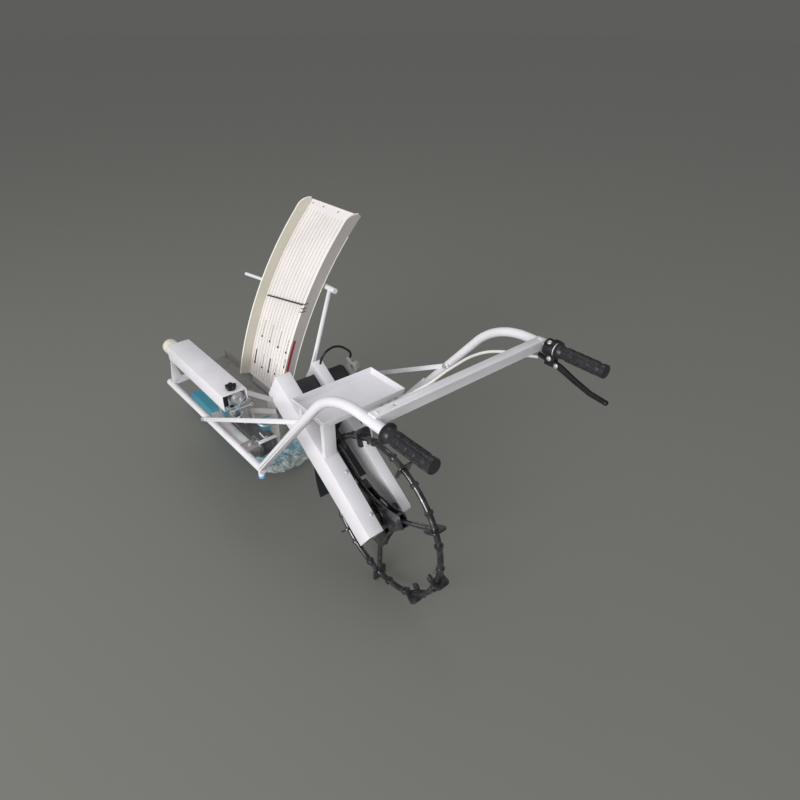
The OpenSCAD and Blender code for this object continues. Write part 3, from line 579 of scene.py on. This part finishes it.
def join(parts, name):
    """Joins the parts into one object with its place in its mesh."""
    deselect()
    for part in parts:
        part.select_set(True)
    bpy.context.view_layer.objects.active = parts[0]
    if len(parts) > 1:
        bpy.ops.object.join()
    obj = bpy.context.view_layer.objects.active
    obj.name = name
    set_down(obj)
    return obj


def complete(obj, body, slot, replaces=(), angle=35, finish=None):
    """Shades a finished piece smooth by angle, gives it its material and body, and hides the CAD nodes that
    it replaces.
    """
    only(obj)
    bpy.ops.object.shade_smooth_by_angle(angle=math.radians(angle))
    obj.data.materials.clear()
    obj.data.materials.append(finish_of(finish or slot))
    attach(obj, body)
    if replaces:
        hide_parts(*replaces)
    return obj


def node_body(node):
    return frame["nodes"][node]["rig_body"]


def node_slot(node):
    return next(p["material_slot"] for p in frame["record"]["subparts"] if p["node"] == node)


def merged_copy(node, name):
    """A copy of a CAD node's mesh as one skin, with flat faces whole again."""
    source = frame["nodes"][node]
    obj = linked(name, source.data.copy())
    edit_all(obj)
    bpy.ops.mesh.remove_doubles(threshold=0.00002)
    bpy.ops.mesh.dissolve_limited(angle_limit=math.radians(0.6))
    leave_edit()
    return obj


def softened(node, width, segments=2):
    """Replaces a CAD node by the same shape with rounded edges."""
    obj = merged_copy(node, node + "_finished")
    modify(obj, "BEVEL", width=width, segments=segments, limit_method="ANGLE",
           angle_limit=math.radians(32), miter_outer="MITER_ARC", use_clamp_overlap=True)
    return complete(obj, node_body(node), node_slot(node), (node,), finish=OWN_FINISH.get(node))


def aligned(direction):
    """A turn that brings Z to the direction."""
    return Vector(direction).to_track_quat("Z", "Y").to_matrix().to_4x4()


def turned(profile, vertices=32):
    """A shape turned on Z from rows of (distance along, radius), by extruding its end again and again."""
    along, radius = profile[0]
    bpy.ops.mesh.primitive_circle_add(
        vertices=vertices, radius=radius, fill_type="NGON", location=(0, 0, along))
    obj = bpy.context.object
    set_down(obj)
    edit_all(obj)
    for next_along, next_radius in profile[1:]:
        bpy.ops.mesh.extrude_region_move(TRANSFORM_OT_translate={"value": (0, 0, next_along - along)})
        factor = next_radius / radius
        bpy.ops.transform.resize(value=(factor, factor, 1), center_override=(0, 0, next_along))
        along, radius = next_along, next_radius
    bpy.ops.mesh.select_all(action="SELECT")
    bpy.ops.mesh.normals_make_consistent(inside=False)
    leave_edit()
    return obj


def copies(model, places):
    """Copies of a model, each with its own mesh, at these matrices. The model itself is removed."""
    made = []
    for matrix in places:
        copy = linked(model.name, model.data.copy())
        copy.matrix_world = matrix
        made.append(copy)
    bpy.data.objects.remove(model)
    return made


def set_at(rows):
    """Matrices from rows of (point, direction, size)."""
    return [Matrix.Translation(point) @ aligned(direction) @ Matrix.Scale(size, 4)
            for point, direction, size in rows]


WASHER = ((0.0, 0.008), (0.0004, 0.0084), (0.0014, 0.0084), (0.0016, 0.008))  # (along, radius)
SCREW_HEAD = (
    # distance along, radius
    (0.0, 0.0045), (0.0009, 0.0047), (0.0018, 0.0043), (0.0025, 0.0033), (0.0028, 0.0016),
)
BOLT_HEAD_R = 0.0071
BOLT_HEAD_H = 0.0052


def hex_bolt():
    """A hexagon bolt head on a washer, for an M8 bolt."""
    washer = turned(WASHER, vertices=28)
    middle = WASHER[-1][0] + BOLT_HEAD_H / 2
    bpy.ops.mesh.primitive_cylinder_add(
        vertices=6, radius=BOLT_HEAD_R, depth=BOLT_HEAD_H, location=(0, 0, middle))
    head = bpy.context.object
    modify(head, "BEVEL", width=0.0006, segments=2, limit_method="ANGLE", angle_limit=math.radians(40))
    return join([washer, head], "bolt")


def pan_screw():
    """The head of a round head screw, for M5."""
    return turned(SCREW_HEAD, vertices=24)


def rod(points, radius, bent=False, steps=8):
    """A round rod along the points, straight between them or bent through them."""
    bpy.ops.curve.primitive_bezier_curve_add(location=(0, 0, 0))
    curve = bpy.context.object
    data = curve.data
    data.splines.clear()
    spline = data.splines.new("BEZIER")
    spline.bezier_points.add(len(points) - 1)
    for end, point in zip(spline.bezier_points, points):
        end.co = point
        end.handle_left_type = end.handle_right_type = "AUTO" if bent else "VECTOR"
    data.bevel_depth = radius
    data.bevel_resolution = 3
    data.resolution_u = steps if bent else 1
    data.use_fill_caps = True
    only(curve)
    bpy.ops.object.convert(target="MESH")
    edit_all(bpy.context.object)
    bpy.ops.mesh.remove_doubles(threshold=0.00001)
    bpy.ops.mesh.normals_make_consistent(inside=False)
    leave_edit()
    return bpy.context.object


def ring(point, direction, radius, thickness, segments=36):
    """A round ring, such as a weld bead round a tube."""
    bpy.ops.mesh.primitive_torus_add(
        major_segments=segments, minor_segments=8, major_radius=radius, minor_radius=thickness / 2)
    obj = bpy.context.object
    obj.matrix_world = Matrix.Translation(point) @ aligned(direction)
    set_down(obj)
    return obj


def slab(size, matrix, bevel=0.0006):
    """A flat piece of this size with rounded edges, at a matrix."""
    bpy.ops.mesh.primitive_cube_add(size=1)
    obj = bpy.context.object
    obj.scale = size
    set_down(obj)
    modify(obj, "BEVEL", width=bevel, segments=2)
    obj.matrix_world = matrix
    set_down(obj)
    return obj


# The pieces

CAMERA_SPOT = (-875, -1019, 1520)  # in millimetres
CAMERA_HEADING = (0.645, 0.764)    # along X and Y
CAMERA_PITCH = math.radians(32.82)
CAMERA_ROLL = math.radians(0.37)
CAMERA_LENS = 26.64
SENSOR_WIDTH = 36


class TRANSPLANTER_OT_camera(bpy.types.Operator):
    """Sets up the camera at the photograph's angle"""
    bl_idname = "transplanter.camera"
    bl_label = "Camera"

    def execute(self, context):
        data = bpy.data.cameras.new("camera")
        data.sensor_width = SENSOR_WIDTH
        data.lens = CAMERA_LENS
        camera = linked("camera", data)
        level = Vector(CAMERA_HEADING).normalized() * math.cos(CAMERA_PITCH)
        forward = Vector((level.x, level.y, -math.sin(CAMERA_PITCH)))
        turn = forward.to_track_quat("-Z", "Y").to_matrix().to_4x4()
        spot = Matrix.Translation(place(*CAMERA_SPOT))
        camera.matrix_world = spot @ turn @ Matrix.Rotation(CAMERA_ROLL, 4, "Z")
        context.scene.camera = camera
        return {"FINISHED"}


SKY_COLOUR = (0.96, 0.97, 1.0, 1)
SKY_STRENGTH = 0.58
BACKDROP_COLOUR = "7b7b78"  # the floor's colour as it looks far off
BACKDROP_STRENGTH = 0.55
LAMPS = (
    # name, spot, target, width, power, tint
    ("key", (-5.2, -1.9, 1.9), (0.0, 0.0, 0.4), 4.2, 285, (1.0, 0.995, 0.995)),
    ("top", (0.8, 1.2, 5.2), (0.0, 0.0, 0.3), 2.2, 16, (1.0, 1.0, 1.0)),
)


class TRANSPLANTER_OT_stage(bpy.types.Operator):
    """Builds the floor, the backdrop and the studio lights"""
    bl_idname = "transplanter.stage"
    bl_label = "Studio"

    def execute(self, context):
        bpy.ops.mesh.primitive_plane_add(size=sizes().floor_size, location=(0, 0, 0))
        floor = context.object
        floor.name = "studio_floor"
        set_down(floor)
        floor.data.materials.append(studio_floor())
        world = bpy.data.worlds.new("studio")
        context.scene.world = world
        world.use_nodes = True
        tree = world.node_tree
        light = tree.nodes["Background"]
        light.inputs["Color"].default_value = SKY_COLOUR
        light.inputs["Strength"].default_value = SKY_STRENGTH
        backdrop = add(tree, "Background", {
            "Color": tone(linear(BACKDROP_COLOUR)), "Strength": BACKDROP_STRENGTH})
        ray = add(tree, "LightPath").outputs
        straight = add(tree, "Math", {
            0: ray["Is Camera Ray"], 1: ray["Is Glossy Ray"]}, operation="MAXIMUM").outputs[0]
        seen = add(tree, "Math", {
            0: straight, 1: ray["Is Transmission Ray"]}, operation="MAXIMUM").outputs[0]
        mixed = add(tree, "MixShader", {0: seen, 1: light.outputs[0], 2: backdrop.outputs[0]})
        tree.links.new(mixed.outputs[0], tree.nodes["World Output"].inputs["Surface"])
        for name, spot, target, width, power, tint in LAMPS:
            data = bpy.data.lights.new(name, "AREA")
            data.shape = "DISK"
            data.size = width
            data.energy = power
            data.color = tint
            lamp = linked(name, data)
            lamp.location = spot
            lamp.rotation_euler = (Vector(target) - Vector(spot)).to_track_quat("-Z", "Y").to_euler()
        context.scene.view_settings.view_transform = "Standard"
        return {"FINISHED"}


class TRANSPLANTER_OT_finishes(bpy.types.Operator):
    """Gives every CAD node its finish"""
    bl_idname = "transplanter.finishes"
    bl_label = "Finishes of the CAD nodes"

    def execute(self, context):
        for node, obj in frame["nodes"].items():
            obj.data.materials.clear()
            obj.data.materials.append(finish_of(OWN_FINISH.get(node, node_slot(node))))
        return {"FINISHED"}


SOFT_EDGES = (
    # node, radius as a share of the folded edge, segments
    ("chain_case_cover", 1.0, 2), ("chain_case_top", 1.0, 2), ("wheel_arm", 1.0, 2), ("feed_cover", 1.2, 2),
    ("pan", 1.0, 2), ("rail", 0.8, 2), ("end_plate", 0.6, 2), ("handle_socket", 1.0, 2),
    ("handle_cross_tube", 1.6, 3), ("brace_left", 0.8, 2), ("brace_right", 0.8, 2), ("side_bar", 0.6, 2),
    ("rail_bars", 0.4, 2), ("frame_cross_tube", 1.6, 3), ("gear_case", 1.6, 3), ("arm_post", 1.2, 2),
    ("mud_plate", 0.8, 2), ("cast_bracket", 1.0, 2), ("drive_case", 1.8, 3), ("planting_arm", 1.4, 3),
    ("planting_claws", 0.5, 2), ("lever_perch", 1.4, 3), ("clutch_lever", 1.6, 3), ("feed_knob", 0.9, 2),
    ("feed_end_cap", 0.8, 2), ("wheel_hub", 0.7, 2), ("wheel_lugs", 0.8, 2), ("wheel_rim", 0.6, 2),
    ("feed_link", 0.8, 2), ("float_arms", 0.8, 2), ("float_post", 0.8, 2), ("shift_lever", 0.8, 2),
    ("chain_case_inner", 0.8, 2), ("pan_posts", 0.8, 2), ("tray_hanger", 0.8, 2), ("tray_strut", 0.8, 2),
)


class TRANSPLANTER_OT_edges(bpy.types.Operator):
    """Rounds the edges of the sheet, cast and moulded parts"""
    bl_idname = "transplanter.edges"
    bl_label = "Rounded edges"

    def execute(self, context):
        for node, share, segments in SOFT_EDGES:
            softened(node, sizes().edge * share, segments)
        return {"FINISHED"}


GRIP_R = 0.0158
GRIP_COLLAR = 0.006  # from the collar's face to its back
GRIP_END = 0.004     # the rounded end beyond the pads' part
COLLAR_PROFILE = (
    # distance along from the collar's back, radius
    (-GRIP_COLLAR, 0.021), (-0.005, 0.0238), (-0.003, 0.0240), (-0.0015, 0.0225), (0.0, 0.0182),
    (0.010, 0.0170), (0.012, 0.0155), (0.015, 0.0155), (0.017, GRIP_R),
)
END_PROFILE = (
    # distance along from the end of the pads' part, radius
    (-0.014, GRIP_R), (-0.0115, 0.0152), (-0.0085, 0.0174), (0.002, 0.0174), (0.0036, 0.0160),
    (GRIP_END, 0.012),
)
PAD_SIZE = (0.0118, 0.0198, 0.005)
PAD_EDGE = 0.0016
PAD_SINK = 0.0025
PAD_ROWS = 7                 # round the grip, each along it
PADS_IN_ROW = 4
FIRST_PAD = 0.0300           # from the collar's back
PAD_STEP = 0.0236
PAD_SHIFT = (-0.001, 0.005)  # of the even and the odd rows, so that they alternate


class TRANSPLANTER_OT_grips(bpy.types.Operator):
    """Models the two rubber grips with their raised pads"""
    bl_idname = "transplanter.grips"
    bl_label = "Grips"

    def execute(self, context):
        for node in ("grip_left", "grip_right"):
            low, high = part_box(node)
            centre = Vector(((low.x + high.x) / 2, high.y - GRIP_COLLAR, (low.z + high.z) / 2))
            length = high.y - GRIP_COLLAR - low.y - GRIP_END
            end = [(length + along, radius) for along, radius in END_PROFILE]
            body = turned([*COLLAR_PROFILE, *end], vertices=48)
            bpy.ops.mesh.primitive_cube_add(size=1)
            pad = context.object
            pad.scale = PAD_SIZE
            set_down(pad)
            modify(pad, "BEVEL", width=PAD_EDGE, segments=3)
            radius = GRIP_R - PAD_SINK + sizes().pad_height
            places = []
            for row in range(PAD_ROWS):
                spin = Matrix.Rotation(math.tau * row / PAD_ROWS, 4, "Z")
                first = FIRST_PAD + PAD_SHIFT[row % 2]
                for k in range(PADS_IN_ROW):
                    out = Matrix.Translation((0, radius, first + PAD_STEP * k))
                    places.append(spin @ out @ Matrix.Rotation(-math.pi / 2, 4, "X"))
            grip = join([body] + copies(pad, places), node + "_moulded")
            grip.matrix_world = Matrix.Translation(centre) @ aligned((0, -1, 0))
            set_down(grip)
            complete(grip, "frame", "grip_rubber", (node,))
        return {"FINISHED"}


# The cables' routes on the CAD model
CLUTCH_ROUTE = [place(x, y, z) for x, y, z in (
    (HANDLE_X, GRIP_Y + 61, HANDLE_Z - 41), (HANDLE_X - 3, GRIP_Y + 76, HANDLE_Z - 44),
    (HANDLE_X - 14, GRIP_Y + 100, HANDLE_Z - 47), (HANDLE_X - 30, BEND_Y + 65, HANDLE_Z - 58),
    (HANDLE_X - 42, BEND_Y + 135, HANDLE_Z - 92), (HANDLE_X - 62, BEND_Y + 215, HANDLE_Z - 165),
    (HANDLE_X - 100, BEND_Y + 285, HANDLE_Z - 245), (HANDLE_X - 150, BEND_Y + 355, HANDLE_Z - 300),
    (100, 250, AXLE_Z + 217), (94, 310, AXLE_Z + 227), (92, 349, AXLE_Z + 234))]
BLACK_ROUTE = [slope(x, s, n) for x, s, n in (
    (-10, 506, 36), (-8, 512, 60), (12, 520, 84), (44, 520, 88), (74, 506, 78), (91, 492, 60),
    (91, 488, 45.5))]
WIRE_ROUTE = [place(x, y, z) for x, y, z in (
    (CASE_X + 3, CROSS_Y - 50, CROSS_Z + 96), (CASE_X - 26, CROSS_Y - 54, CROSS_Z + 104),
    (CASE_X - 46, CROSS_Y - 52, CROSS_Z + 110), (CASE_X - 48, CROSS_Y - 28, CROSS_Z + 112),
    (CASE_X - 28, CROSS_Y - 17, CROSS_Z + 106), (CASE_X + 3, CROSS_Y - 14, CROSS_Z + 100))]


class TRANSPLANTER_OT_tubes(bpy.types.Operator):
    """Smooths the swept tubes and cables"""
    bl_idname = "transplanter.tubes"
    bl_label = "Tubes and cables"

    def execute(self, context):
        cables = (
            # node, points, radius, finish
            ("clutch_cable", CLUTCH_ROUTE, 0.0042, None),
            ("black_cable", BLACK_ROUTE, 0.0037, "black_wire"),
            ("wire_loop", WIRE_ROUTE, 0.0031, None),
        )
        for node, points, radius, finish in cables:
            obj = rod(points, radius, bent=True)
            obj.name = node + "_round"
            complete(obj, node_body(node), node_slot(node), (node,), angle=60, finish=finish)
        for node in ("handle_left", "handle_right"):
            obj = merged_copy(node, node + "_round")
            complete(obj, node_body(node), node_slot(node), (node,), angle=40)
        return {"FINISHED"}


SLOPE_UP = slope(0, 0, 1) - slope(0, 0, 0)
SCREWS = (
    # point, direction, size: the case's cover, then the lever stock
    (slope(-131, 12, 43.4), SLOPE_UP, 1.25),
    (slope(-131, 154, 49.5), SLOPE_UP, 1.25),
    (slope(-131, 300, 50), SLOPE_UP, 1.25),
    (place(HANDLE_X - 11, GRIP_Y + 26, HANDLE_Z + 18.4), (-0.5, 0, 0.87), 1.3),
    (place(HANDLE_X - 8.9, GRIP_Y + 22, HANDLE_Z - 26), (-1, 0, 0), 1.5),
    (place(HANDLE_X - 3.6, GRIP_Y + 2, HANDLE_Z - 41), (-1, 0, 0), 1.5),
)
BOLTS = (
    # point, direction, size: the braces' ends, the pan, then the frame's cross tube
    (on_frame(-293.6, 757), (-1, 0, 0), 0.95),
    (on_handle(-256.5, 80), (1, 0, 0), 0.95),
    (on_frame(257.2, 680), (-1, 0, 0), 0.95),
    (on_handle(257.2, 110), (-1, 0, 0), 0.95),
    (place(33, 150, 550), (0, -1, 0), 0.95),
    (place(61, 150, 550), (0, -1, 0), 0.95),
    (place(89, 150, 550), (0, -1, 0), 0.95),
    (place(-251, CROSS_Y, AXLE_Z + 61), (0, 0, 1), 0.9),
    (place(251, CROSS_Y, AXLE_Z + 61), (0, 0, 1), 0.9),
)


class TRANSPLANTER_OT_fasteners(bpy.types.Operator):
    """Models the screws and bolts of the frame, the case, the braces and the pan"""
    bl_idname = "transplanter.fasteners"
    bl_label = "Fasteners"

    def execute(self, context):
        complete(join(copies(pan_screw(), set_at(SCREWS)), "pan_head_screws"), "frame", "bright_steel")
        complete(join(copies(hex_bolt(), set_at(BOLTS)), "hexagon_bolts"), "frame", "bright_steel")
        return {"FINISHED"}


# The weld beads: where a handle ends along Y, the right end of the cross tube between the handles,
# half a lug plate in degrees, radii to a bead's middle, and size and height of the ripples in a bead
HANDLE_FOOT = 354
HANDLE_ALONG = on_handle(0, 1) - on_handle(0, 0)
CROSS_WELD = (HANDLE_X - 12.4, BEND_Y - 44, HANDLE_Z + 4.5)
LUG_HALF = 1.15
FOOT_BEAD_R = 0.0128
CROSS_BEAD_R = 0.0135
RIM_BEAD_R = 0.0096
BEAD_GRAIN = 0.003
BEAD_RIPPLE = 0.0011


class TRANSPLANTER_OT_welds(bpy.types.Operator):
    """Models the weld beads at the tube joints"""
    bl_idname = "transplanter.welds"
    bl_label = "Weld beads"

    def execute(self, context):
        bead = sizes().weld
        beads = []
        x, y, z = CROSS_WELD
        for side in (-1, 1):
            beads.append(ring(on_handle(side * HANDLE_X, HANDLE_FOOT), HANDLE_ALONG, FOOT_BEAD_R, bead))
            beads.append(ring(place(side * x, y, z), (1, 0, 0), CROSS_BEAD_R, bead))
        texture = bpy.data.textures.new("bead", "CLOUDS")
        texture.noise_scale = BEAD_GRAIN
        for obj in beads:
            modify(obj, "DISPLACE", strength=BEAD_RIPPLE, mid_level=0.5, texture=texture,
                   texture_coords="GLOBAL")
        complete(join(beads, "weld_beads"), "frame", "white_paint")
        collars = []
        for k in range(LUG_COUNT):
            for side in (-1, 1):
                angle = FIRST_LUG + 360 / LUG_COUNT * k + side * LUG_HALF
                a = math.radians(angle)
                tangent = Vector((0, -math.sin(a), math.cos(a)))
                collars.append(ring(on_wheel(RIM_R, angle), tangent, RIM_BEAD_R, bead, segments=24))
        complete(join(collars, "wheel_weld_rings"), "wheel", "wheel_iron")
        return {"FINISHED"}


# The rolled edges follow the tray's curve by points, from its foot up, a step in degrees apart
EDGE_IN = 1.6                   # from a wall's outer face to the middle of its rolled edge
EDGE_POINTS = 32
EDGE_STEP = 0.9
CORNER_TURNS = range(4, 61, 7)  # the points round a wall's upper corner, in degrees
CORNER_OUT = 0.6                # from the corner's curve to the middle of the edge there
UNDER_EDGE_R = FLOOR_R - 2.5    # the lower edge of the near wall
UNDER_IN = 0.6
UNDER_POINTS = 24
UNDER_STEP = 1.2
UNDER_BEAD = 0.0017
# Black strips with round ends along the slots in the tray's floor: painted shade in the slots
SLOT_SHADE_STRIPS = (
    # share of the tray's width from its far wall, start and end angle
    (0.17, 155.7, 158.7), (0.365, 155.7, 158.7), (0.565, 155.9, 158.7), (0.757, 156.4, 158.7),
    (0.11, 161.1, 163.6), (0.30, 161.1, 163.6), (0.458, 161.1, 163.5), (0.618, 161.2, 163.1),
    (0.79, 159.5, 161.0),
)
SLOT_SHADE_R = 0.0016
SLOT_SHADE_RISE = 0.4  # from the tray's floor to a strip's axis
SLOT_SHADE_STEPS = 4
SLOT_END_SHADE_R = 0.0042
SLOT_END_SHADE_SHAPE = (0.9, 1.0, 1.3, 1)
STRIP_R = 1297.0
STRIP_FROM = 155.6
STRIP_TO = 160.4
STRIP_PIECES = 8
STRIP_PIECE = (0.0150, 0.0085, 0.0008)
CLIP_R = 0.0013
CLIP_ANGLES = (149.9, 150.6, 151.1)
CLIP_HOOK = (
    # height over the wall's edge, lean in degrees, distance in from the near wall
    (-13, 0.0, 9), (-3, 0.1, 7.5), (5, 0.15, 3.5), (5.5, 0.1, -1.5), (-2, 0.0, -3), (-9, -0.25, -2.6),
)


class TRANSPLANTER_OT_tray_trim(bpy.types.Operator):
    """Models the seedling tray's rolled edges, black strips as painted shade in its slots, strip and wire
    clips
    """
    bl_idname = "transplanter.tray_trim"
    bl_label = "Tray trim"

    def execute(self, context):
        lip = sizes().lip / 2
        lips = []
        for y in (TRAY_NEAR + EDGE_IN, TRAY_FAR - EDGE_IN):
            corner = on_tray(TRAY_R - CORNER_R, CORNER_ANGLE, y)
            points = [on_tray(TRAY_R, FOOT_ANGLE - EDGE_STEP * k, y) for k in range(EDGE_POINTS)]
            for turn in CORNER_TURNS:
                a = math.radians(CORNER_ANGLE - turn)
                out = Vector((math.cos(a), 0, math.sin(a)))
                points.append(corner + out * (CORNER_R + CORNER_OUT) / 1000)
            lips.append(rod(points, lip, bent=True, steps=2))
        y = TRAY_NEAR + UNDER_IN
        under = [on_tray(UNDER_EDGE_R, FOOT_ANGLE - UNDER_STEP * k, y) for k in range(UNDER_POINTS)]
        lips.append(rod(under, UNDER_BEAD, bent=True, steps=2))
        complete(join(lips, "tray_rolled_edges"), "tray", "tray_plastic", finish="tray_edge")
        # Painted shade: black strips with round ends laid in the floor's slots
        slot_shades = []
        for share, start, end in SLOT_SHADE_STRIPS:
            y = TRAY_FAR - share * (TRAY_FAR - TRAY_NEAR)
            step = (end - start) / SLOT_SHADE_STEPS
            points = [on_tray(FLOOR_R + SLOT_SHADE_RISE, start + step * k, y) for k in range(SLOT_SHADE_STEPS + 1)]
            slot_shades.append(rod(points, SLOT_SHADE_R, bent=True, steps=2))
            bpy.ops.mesh.primitive_uv_sphere_add(segments=16, ring_count=8, radius=SLOT_END_SHADE_R)
            slot_end_shade = context.object
            spot = Matrix.Translation(on_tray(FLOOR_R + 0.6, end - 0.1, y))
            slot_end_shade.matrix_world = spot @ Matrix.Diagonal(SLOT_END_SHADE_SHAPE)
            set_down(slot_end_shade)
            slot_shades.append(slot_end_shade)
        complete(join(slot_shades, "tray_slot_shade_strips"), "tray", "black_wire", finish="black_plastic")
        strip = []
        for k in range(STRIP_PIECES):
            a = STRIP_FROM + (STRIP_TO - STRIP_FROM) * (k + 0.5) / STRIP_PIECES
            centre = on_tray(STRIP_R, a, TRAY_NEAR - 0.5)
            along = (on_tray(STRIP_R, a + 0.5, 0) - on_tray(STRIP_R, a - 0.5, 0)).normalized()
            across = Vector((0, 1, 0))
            up = along.cross(across)
            matrix = Matrix((along, up, across)).transposed().to_4x4()
            matrix.translation = centre
            strip.append(slab(STRIP_PIECE, matrix, bevel=0.0002))
        complete(join(strip, "tray_wall_strip"), "tray", "tray_plastic", finish="red_strip")
        clips = []
        for a in CLIP_ANGLES:
            hook = [on_tray(TRAY_R + rise, a + lean, TRAY_NEAR + y) for rise, lean, y in CLIP_HOOK]
            clips.append(rod(hook, CLIP_R, bent=True, steps=4))
        complete(join(clips, "retainer_clips"), "tray", "black_wire", finish="dark_case")
        return {"FINISHED"}


LINK_RODS = (
    # points, radius, bent through them
    (((-262, 600, 426), (-222, 596, 422), (-180, 604, 428)), 0.0032, False),
    (((-260, 586, 420), (-214, 578, 424), (-184, 572, 428)), 0.0030, False),
    (((-256, 574, 412), (-226, 590, 424), (-186, 612, 440)), 0.0026, False),
    (((-252, 602, 412), (-250, 570, 404), (-236, 556, 410), (-222, 566, 418)), 0.0026, True),
    (((-222, 457, 392), (-216, 440, 378), (-214, 424, 392)), 0.0024, False),
)
LINK_EYES = ((-262, 600, 426), (-180, 604, 428), (-184, 572, 428), (-226, 590, 424))
EYE_AXIS = (0, -1, 0.3)
EYE_R = 0.0055
EYE_WIRE = 0.004
STOP_BLOCKS = (
    # size, middle, bevel
    ((0.016, 0.022, 0.036), (-255, 620, 447), 0.0012),
    ((0.014, 0.014, 0.012), (-240, 603, 424), 0.0025),
)
BEARING = (-227.2, 470, 341)
BEARING_R = 0.0125
BEARING_WALL = 0.006


class TRANSPLANTER_OT_linkage(bpy.types.Operator):
    """Models the rods, levers and blocks at the near end of the feed cover, and a bearing ring"""
    bl_idname = "transplanter.linkage"
    bl_label = "Feed linkage"

    def execute(self, context):
        made = []
        for points, radius, bent in LINK_RODS:
            made.append(rod([place(*p) for p in points], radius, bent))
        for point in LINK_EYES:
            made.append(ring(place(*point), EYE_AXIS, EYE_R, EYE_WIRE, segments=20))
        complete(join(made, "feed_linkage_rods"), "frame", "bright_steel")
        blocks = []
        for size, point, bevel in STOP_BLOCKS:
            blocks.append(slab(size, Matrix.Translation(place(*point)), bevel))
        complete(join(blocks, "feed_stop_blocks"), "frame", "black_plastic")
        bearing = ring(place(*BEARING), (-1, 0, 0), BEARING_R, BEARING_WALL)
        bearing.name = "bearing_ring"
        complete(bearing, "frame", "bright_steel")
        return {"FINISHED"}


FILM_END = 748                     # the film's far edge on the float
FILM_START = Vector((0, 0.03, 0))  # the float's end is first cut this far beyond the film's edge
FILM_STRETCH = (1.04, 2.1, 1.0)    # how many times wider and longer it is than the float's end
FILM_FOOT = 0.007                  # height of its lower edge
FILM_GRID = 0.0035                 # size of the squares that its surface is made of
FILM_OFF = 0.007                   # how far it stands off the float
FILM_FOLDS = (
    # size and height of its large and small folds
    (0.05, 0.022), (0.018, 0.008),
)


def crumple(obj, grain, depth):
    """Pushes the surface in and out along ridges of this grain."""
    texture = bpy.data.textures.new("crumple", "CLOUDS")
    texture.noise_scale = grain
    texture.noise_depth = 2
    texture.noise_type = "HARD_NOISE"
    modify(obj, "DISPLACE", strength=depth, mid_level=0.4, texture=texture, texture_coords="GLOBAL")
    bpy.data.textures.remove(texture)


def cut_off(obj, point, away):
    """Cuts off what lies beyond a plane."""
    edit_all(obj)
    bpy.ops.mesh.bisect(plane_co=point, plane_no=away, clear_outer=True)
    leave_edit()


class TRANSPLANTER_OT_film(bpy.types.Operator):
    """Lays a crumpled piece of clear film over the near end of the float"""
    bl_idname = "transplanter.film"
    bl_label = "Clear film"

    def execute(self, context):
        film = merged_copy("float", "float_film")
        edge = place(0, FILM_END, 0)
        edit_all(film)
        bpy.ops.mesh.bisect(
            plane_co=edge + FILM_START, plane_no=(0, 1, 0), clear_outer=True, use_fill=True)
        bpy.ops.mesh.select_all(action="SELECT")
        bpy.ops.transform.resize(value=FILM_STRETCH, center_override=edge)
        leave_edit()
        modify(film, "REMESH", mode="VOXEL", voxel_size=FILM_GRID)
        modify(film, "SMOOTH", factor=0.5, iterations=8)
        modify(film, "DISPLACE", strength=FILM_OFF, mid_level=0.0)
        for grain, depth in FILM_FOLDS:
            crumple(film, grain, depth)
        cut_off(film, edge, (0, 1, 0))
        cut_off(film, Vector((0, 0, FILM_FOOT)), (0, 0, -1))
        complete(film, "frame", "float_plastic", angle=50, finish="clear_film")
        return {"FINISHED"}


LABEL_SIZE = (0.026, 0.085, 0.0008)
LABEL_SPOT = (-246, 575)  # its place across and along the frame tube's axis
LABEL_RISE = 0.0034       # from that axis to the plate's middle


class TRANSPLANTER_OT_label(bpy.types.Operator):
    """Models the blank plate on the side bar"""
    bl_idname = "transplanter.label"
    bl_label = "Blank plate"

    def execute(self, context):
        tilt = Matrix.Rotation(-FRAME_TILT, 4, "X")
        centre = on_frame(*LABEL_SPOT) + Vector((0, 0, LABEL_RISE))
        plate = slab(LABEL_SIZE, Matrix.Translation(centre) @ tilt, bevel=0.0003)
        complete(plate, "frame", "white_paint", finish="label_film")
        return {"FINISHED"}


OPERATORS = (
    TRANSPLANTER_OT_camera,
    TRANSPLANTER_OT_stage,
    TRANSPLANTER_OT_finishes,
    TRANSPLANTER_OT_edges,
    TRANSPLANTER_OT_grips,
    TRANSPLANTER_OT_tubes,
    TRANSPLANTER_OT_fasteners,
    TRANSPLANTER_OT_welds,
    TRANSPLANTER_OT_tray_trim,
    TRANSPLANTER_OT_linkage,
    TRANSPLANTER_OT_label,
    TRANSPLANTER_OT_film,
)


class TRANSPLANTER_PT_panel(bpy.types.Panel):
    """Sizes, colours and pieces of the transplanter"""
    bl_label = "Transplanter"
    bl_idname = "TRANSPLANTER_PT_panel"
    bl_space_type = "VIEW_3D"
    bl_region_type = "UI"
    bl_category = "Transplanter"

    def draw(self, context):
        layout = self.layout
        for group in (context.scene.transplanter_sizes, context.scene.transplanter_colours):
            for name in group.bl_rna.properties.keys():
                if name not in ("rna_type", "name"):
                    layout.prop(group, name)
        for operator in OPERATORS:
            layout.operator(operator.bl_idname)


CLASSES = (TransplanterSizes, TransplanterColours, *OPERATORS, TRANSPLANTER_PT_panel)


def register():
    for cls in CLASSES:
        bpy.utils.register_class(cls)
    bpy.types.Scene.transplanter_sizes = bpy.props.PointerProperty(type=TransplanterSizes)
    bpy.types.Scene.transplanter_colours = bpy.props.PointerProperty(type=TransplanterColours)


def unregister():
    del bpy.types.Scene.transplanter_colours
    del bpy.types.Scene.transplanter_sizes
    for cls in reversed(CLASSES):
        bpy.utils.unregister_class(cls)


def main():
    register()
    deselect()
    for operator in OPERATORS:
        family, name = operator.bl_idname.split(".")
        getattr(getattr(bpy.ops, family), name)()


if __name__ == "__main__":
    main()
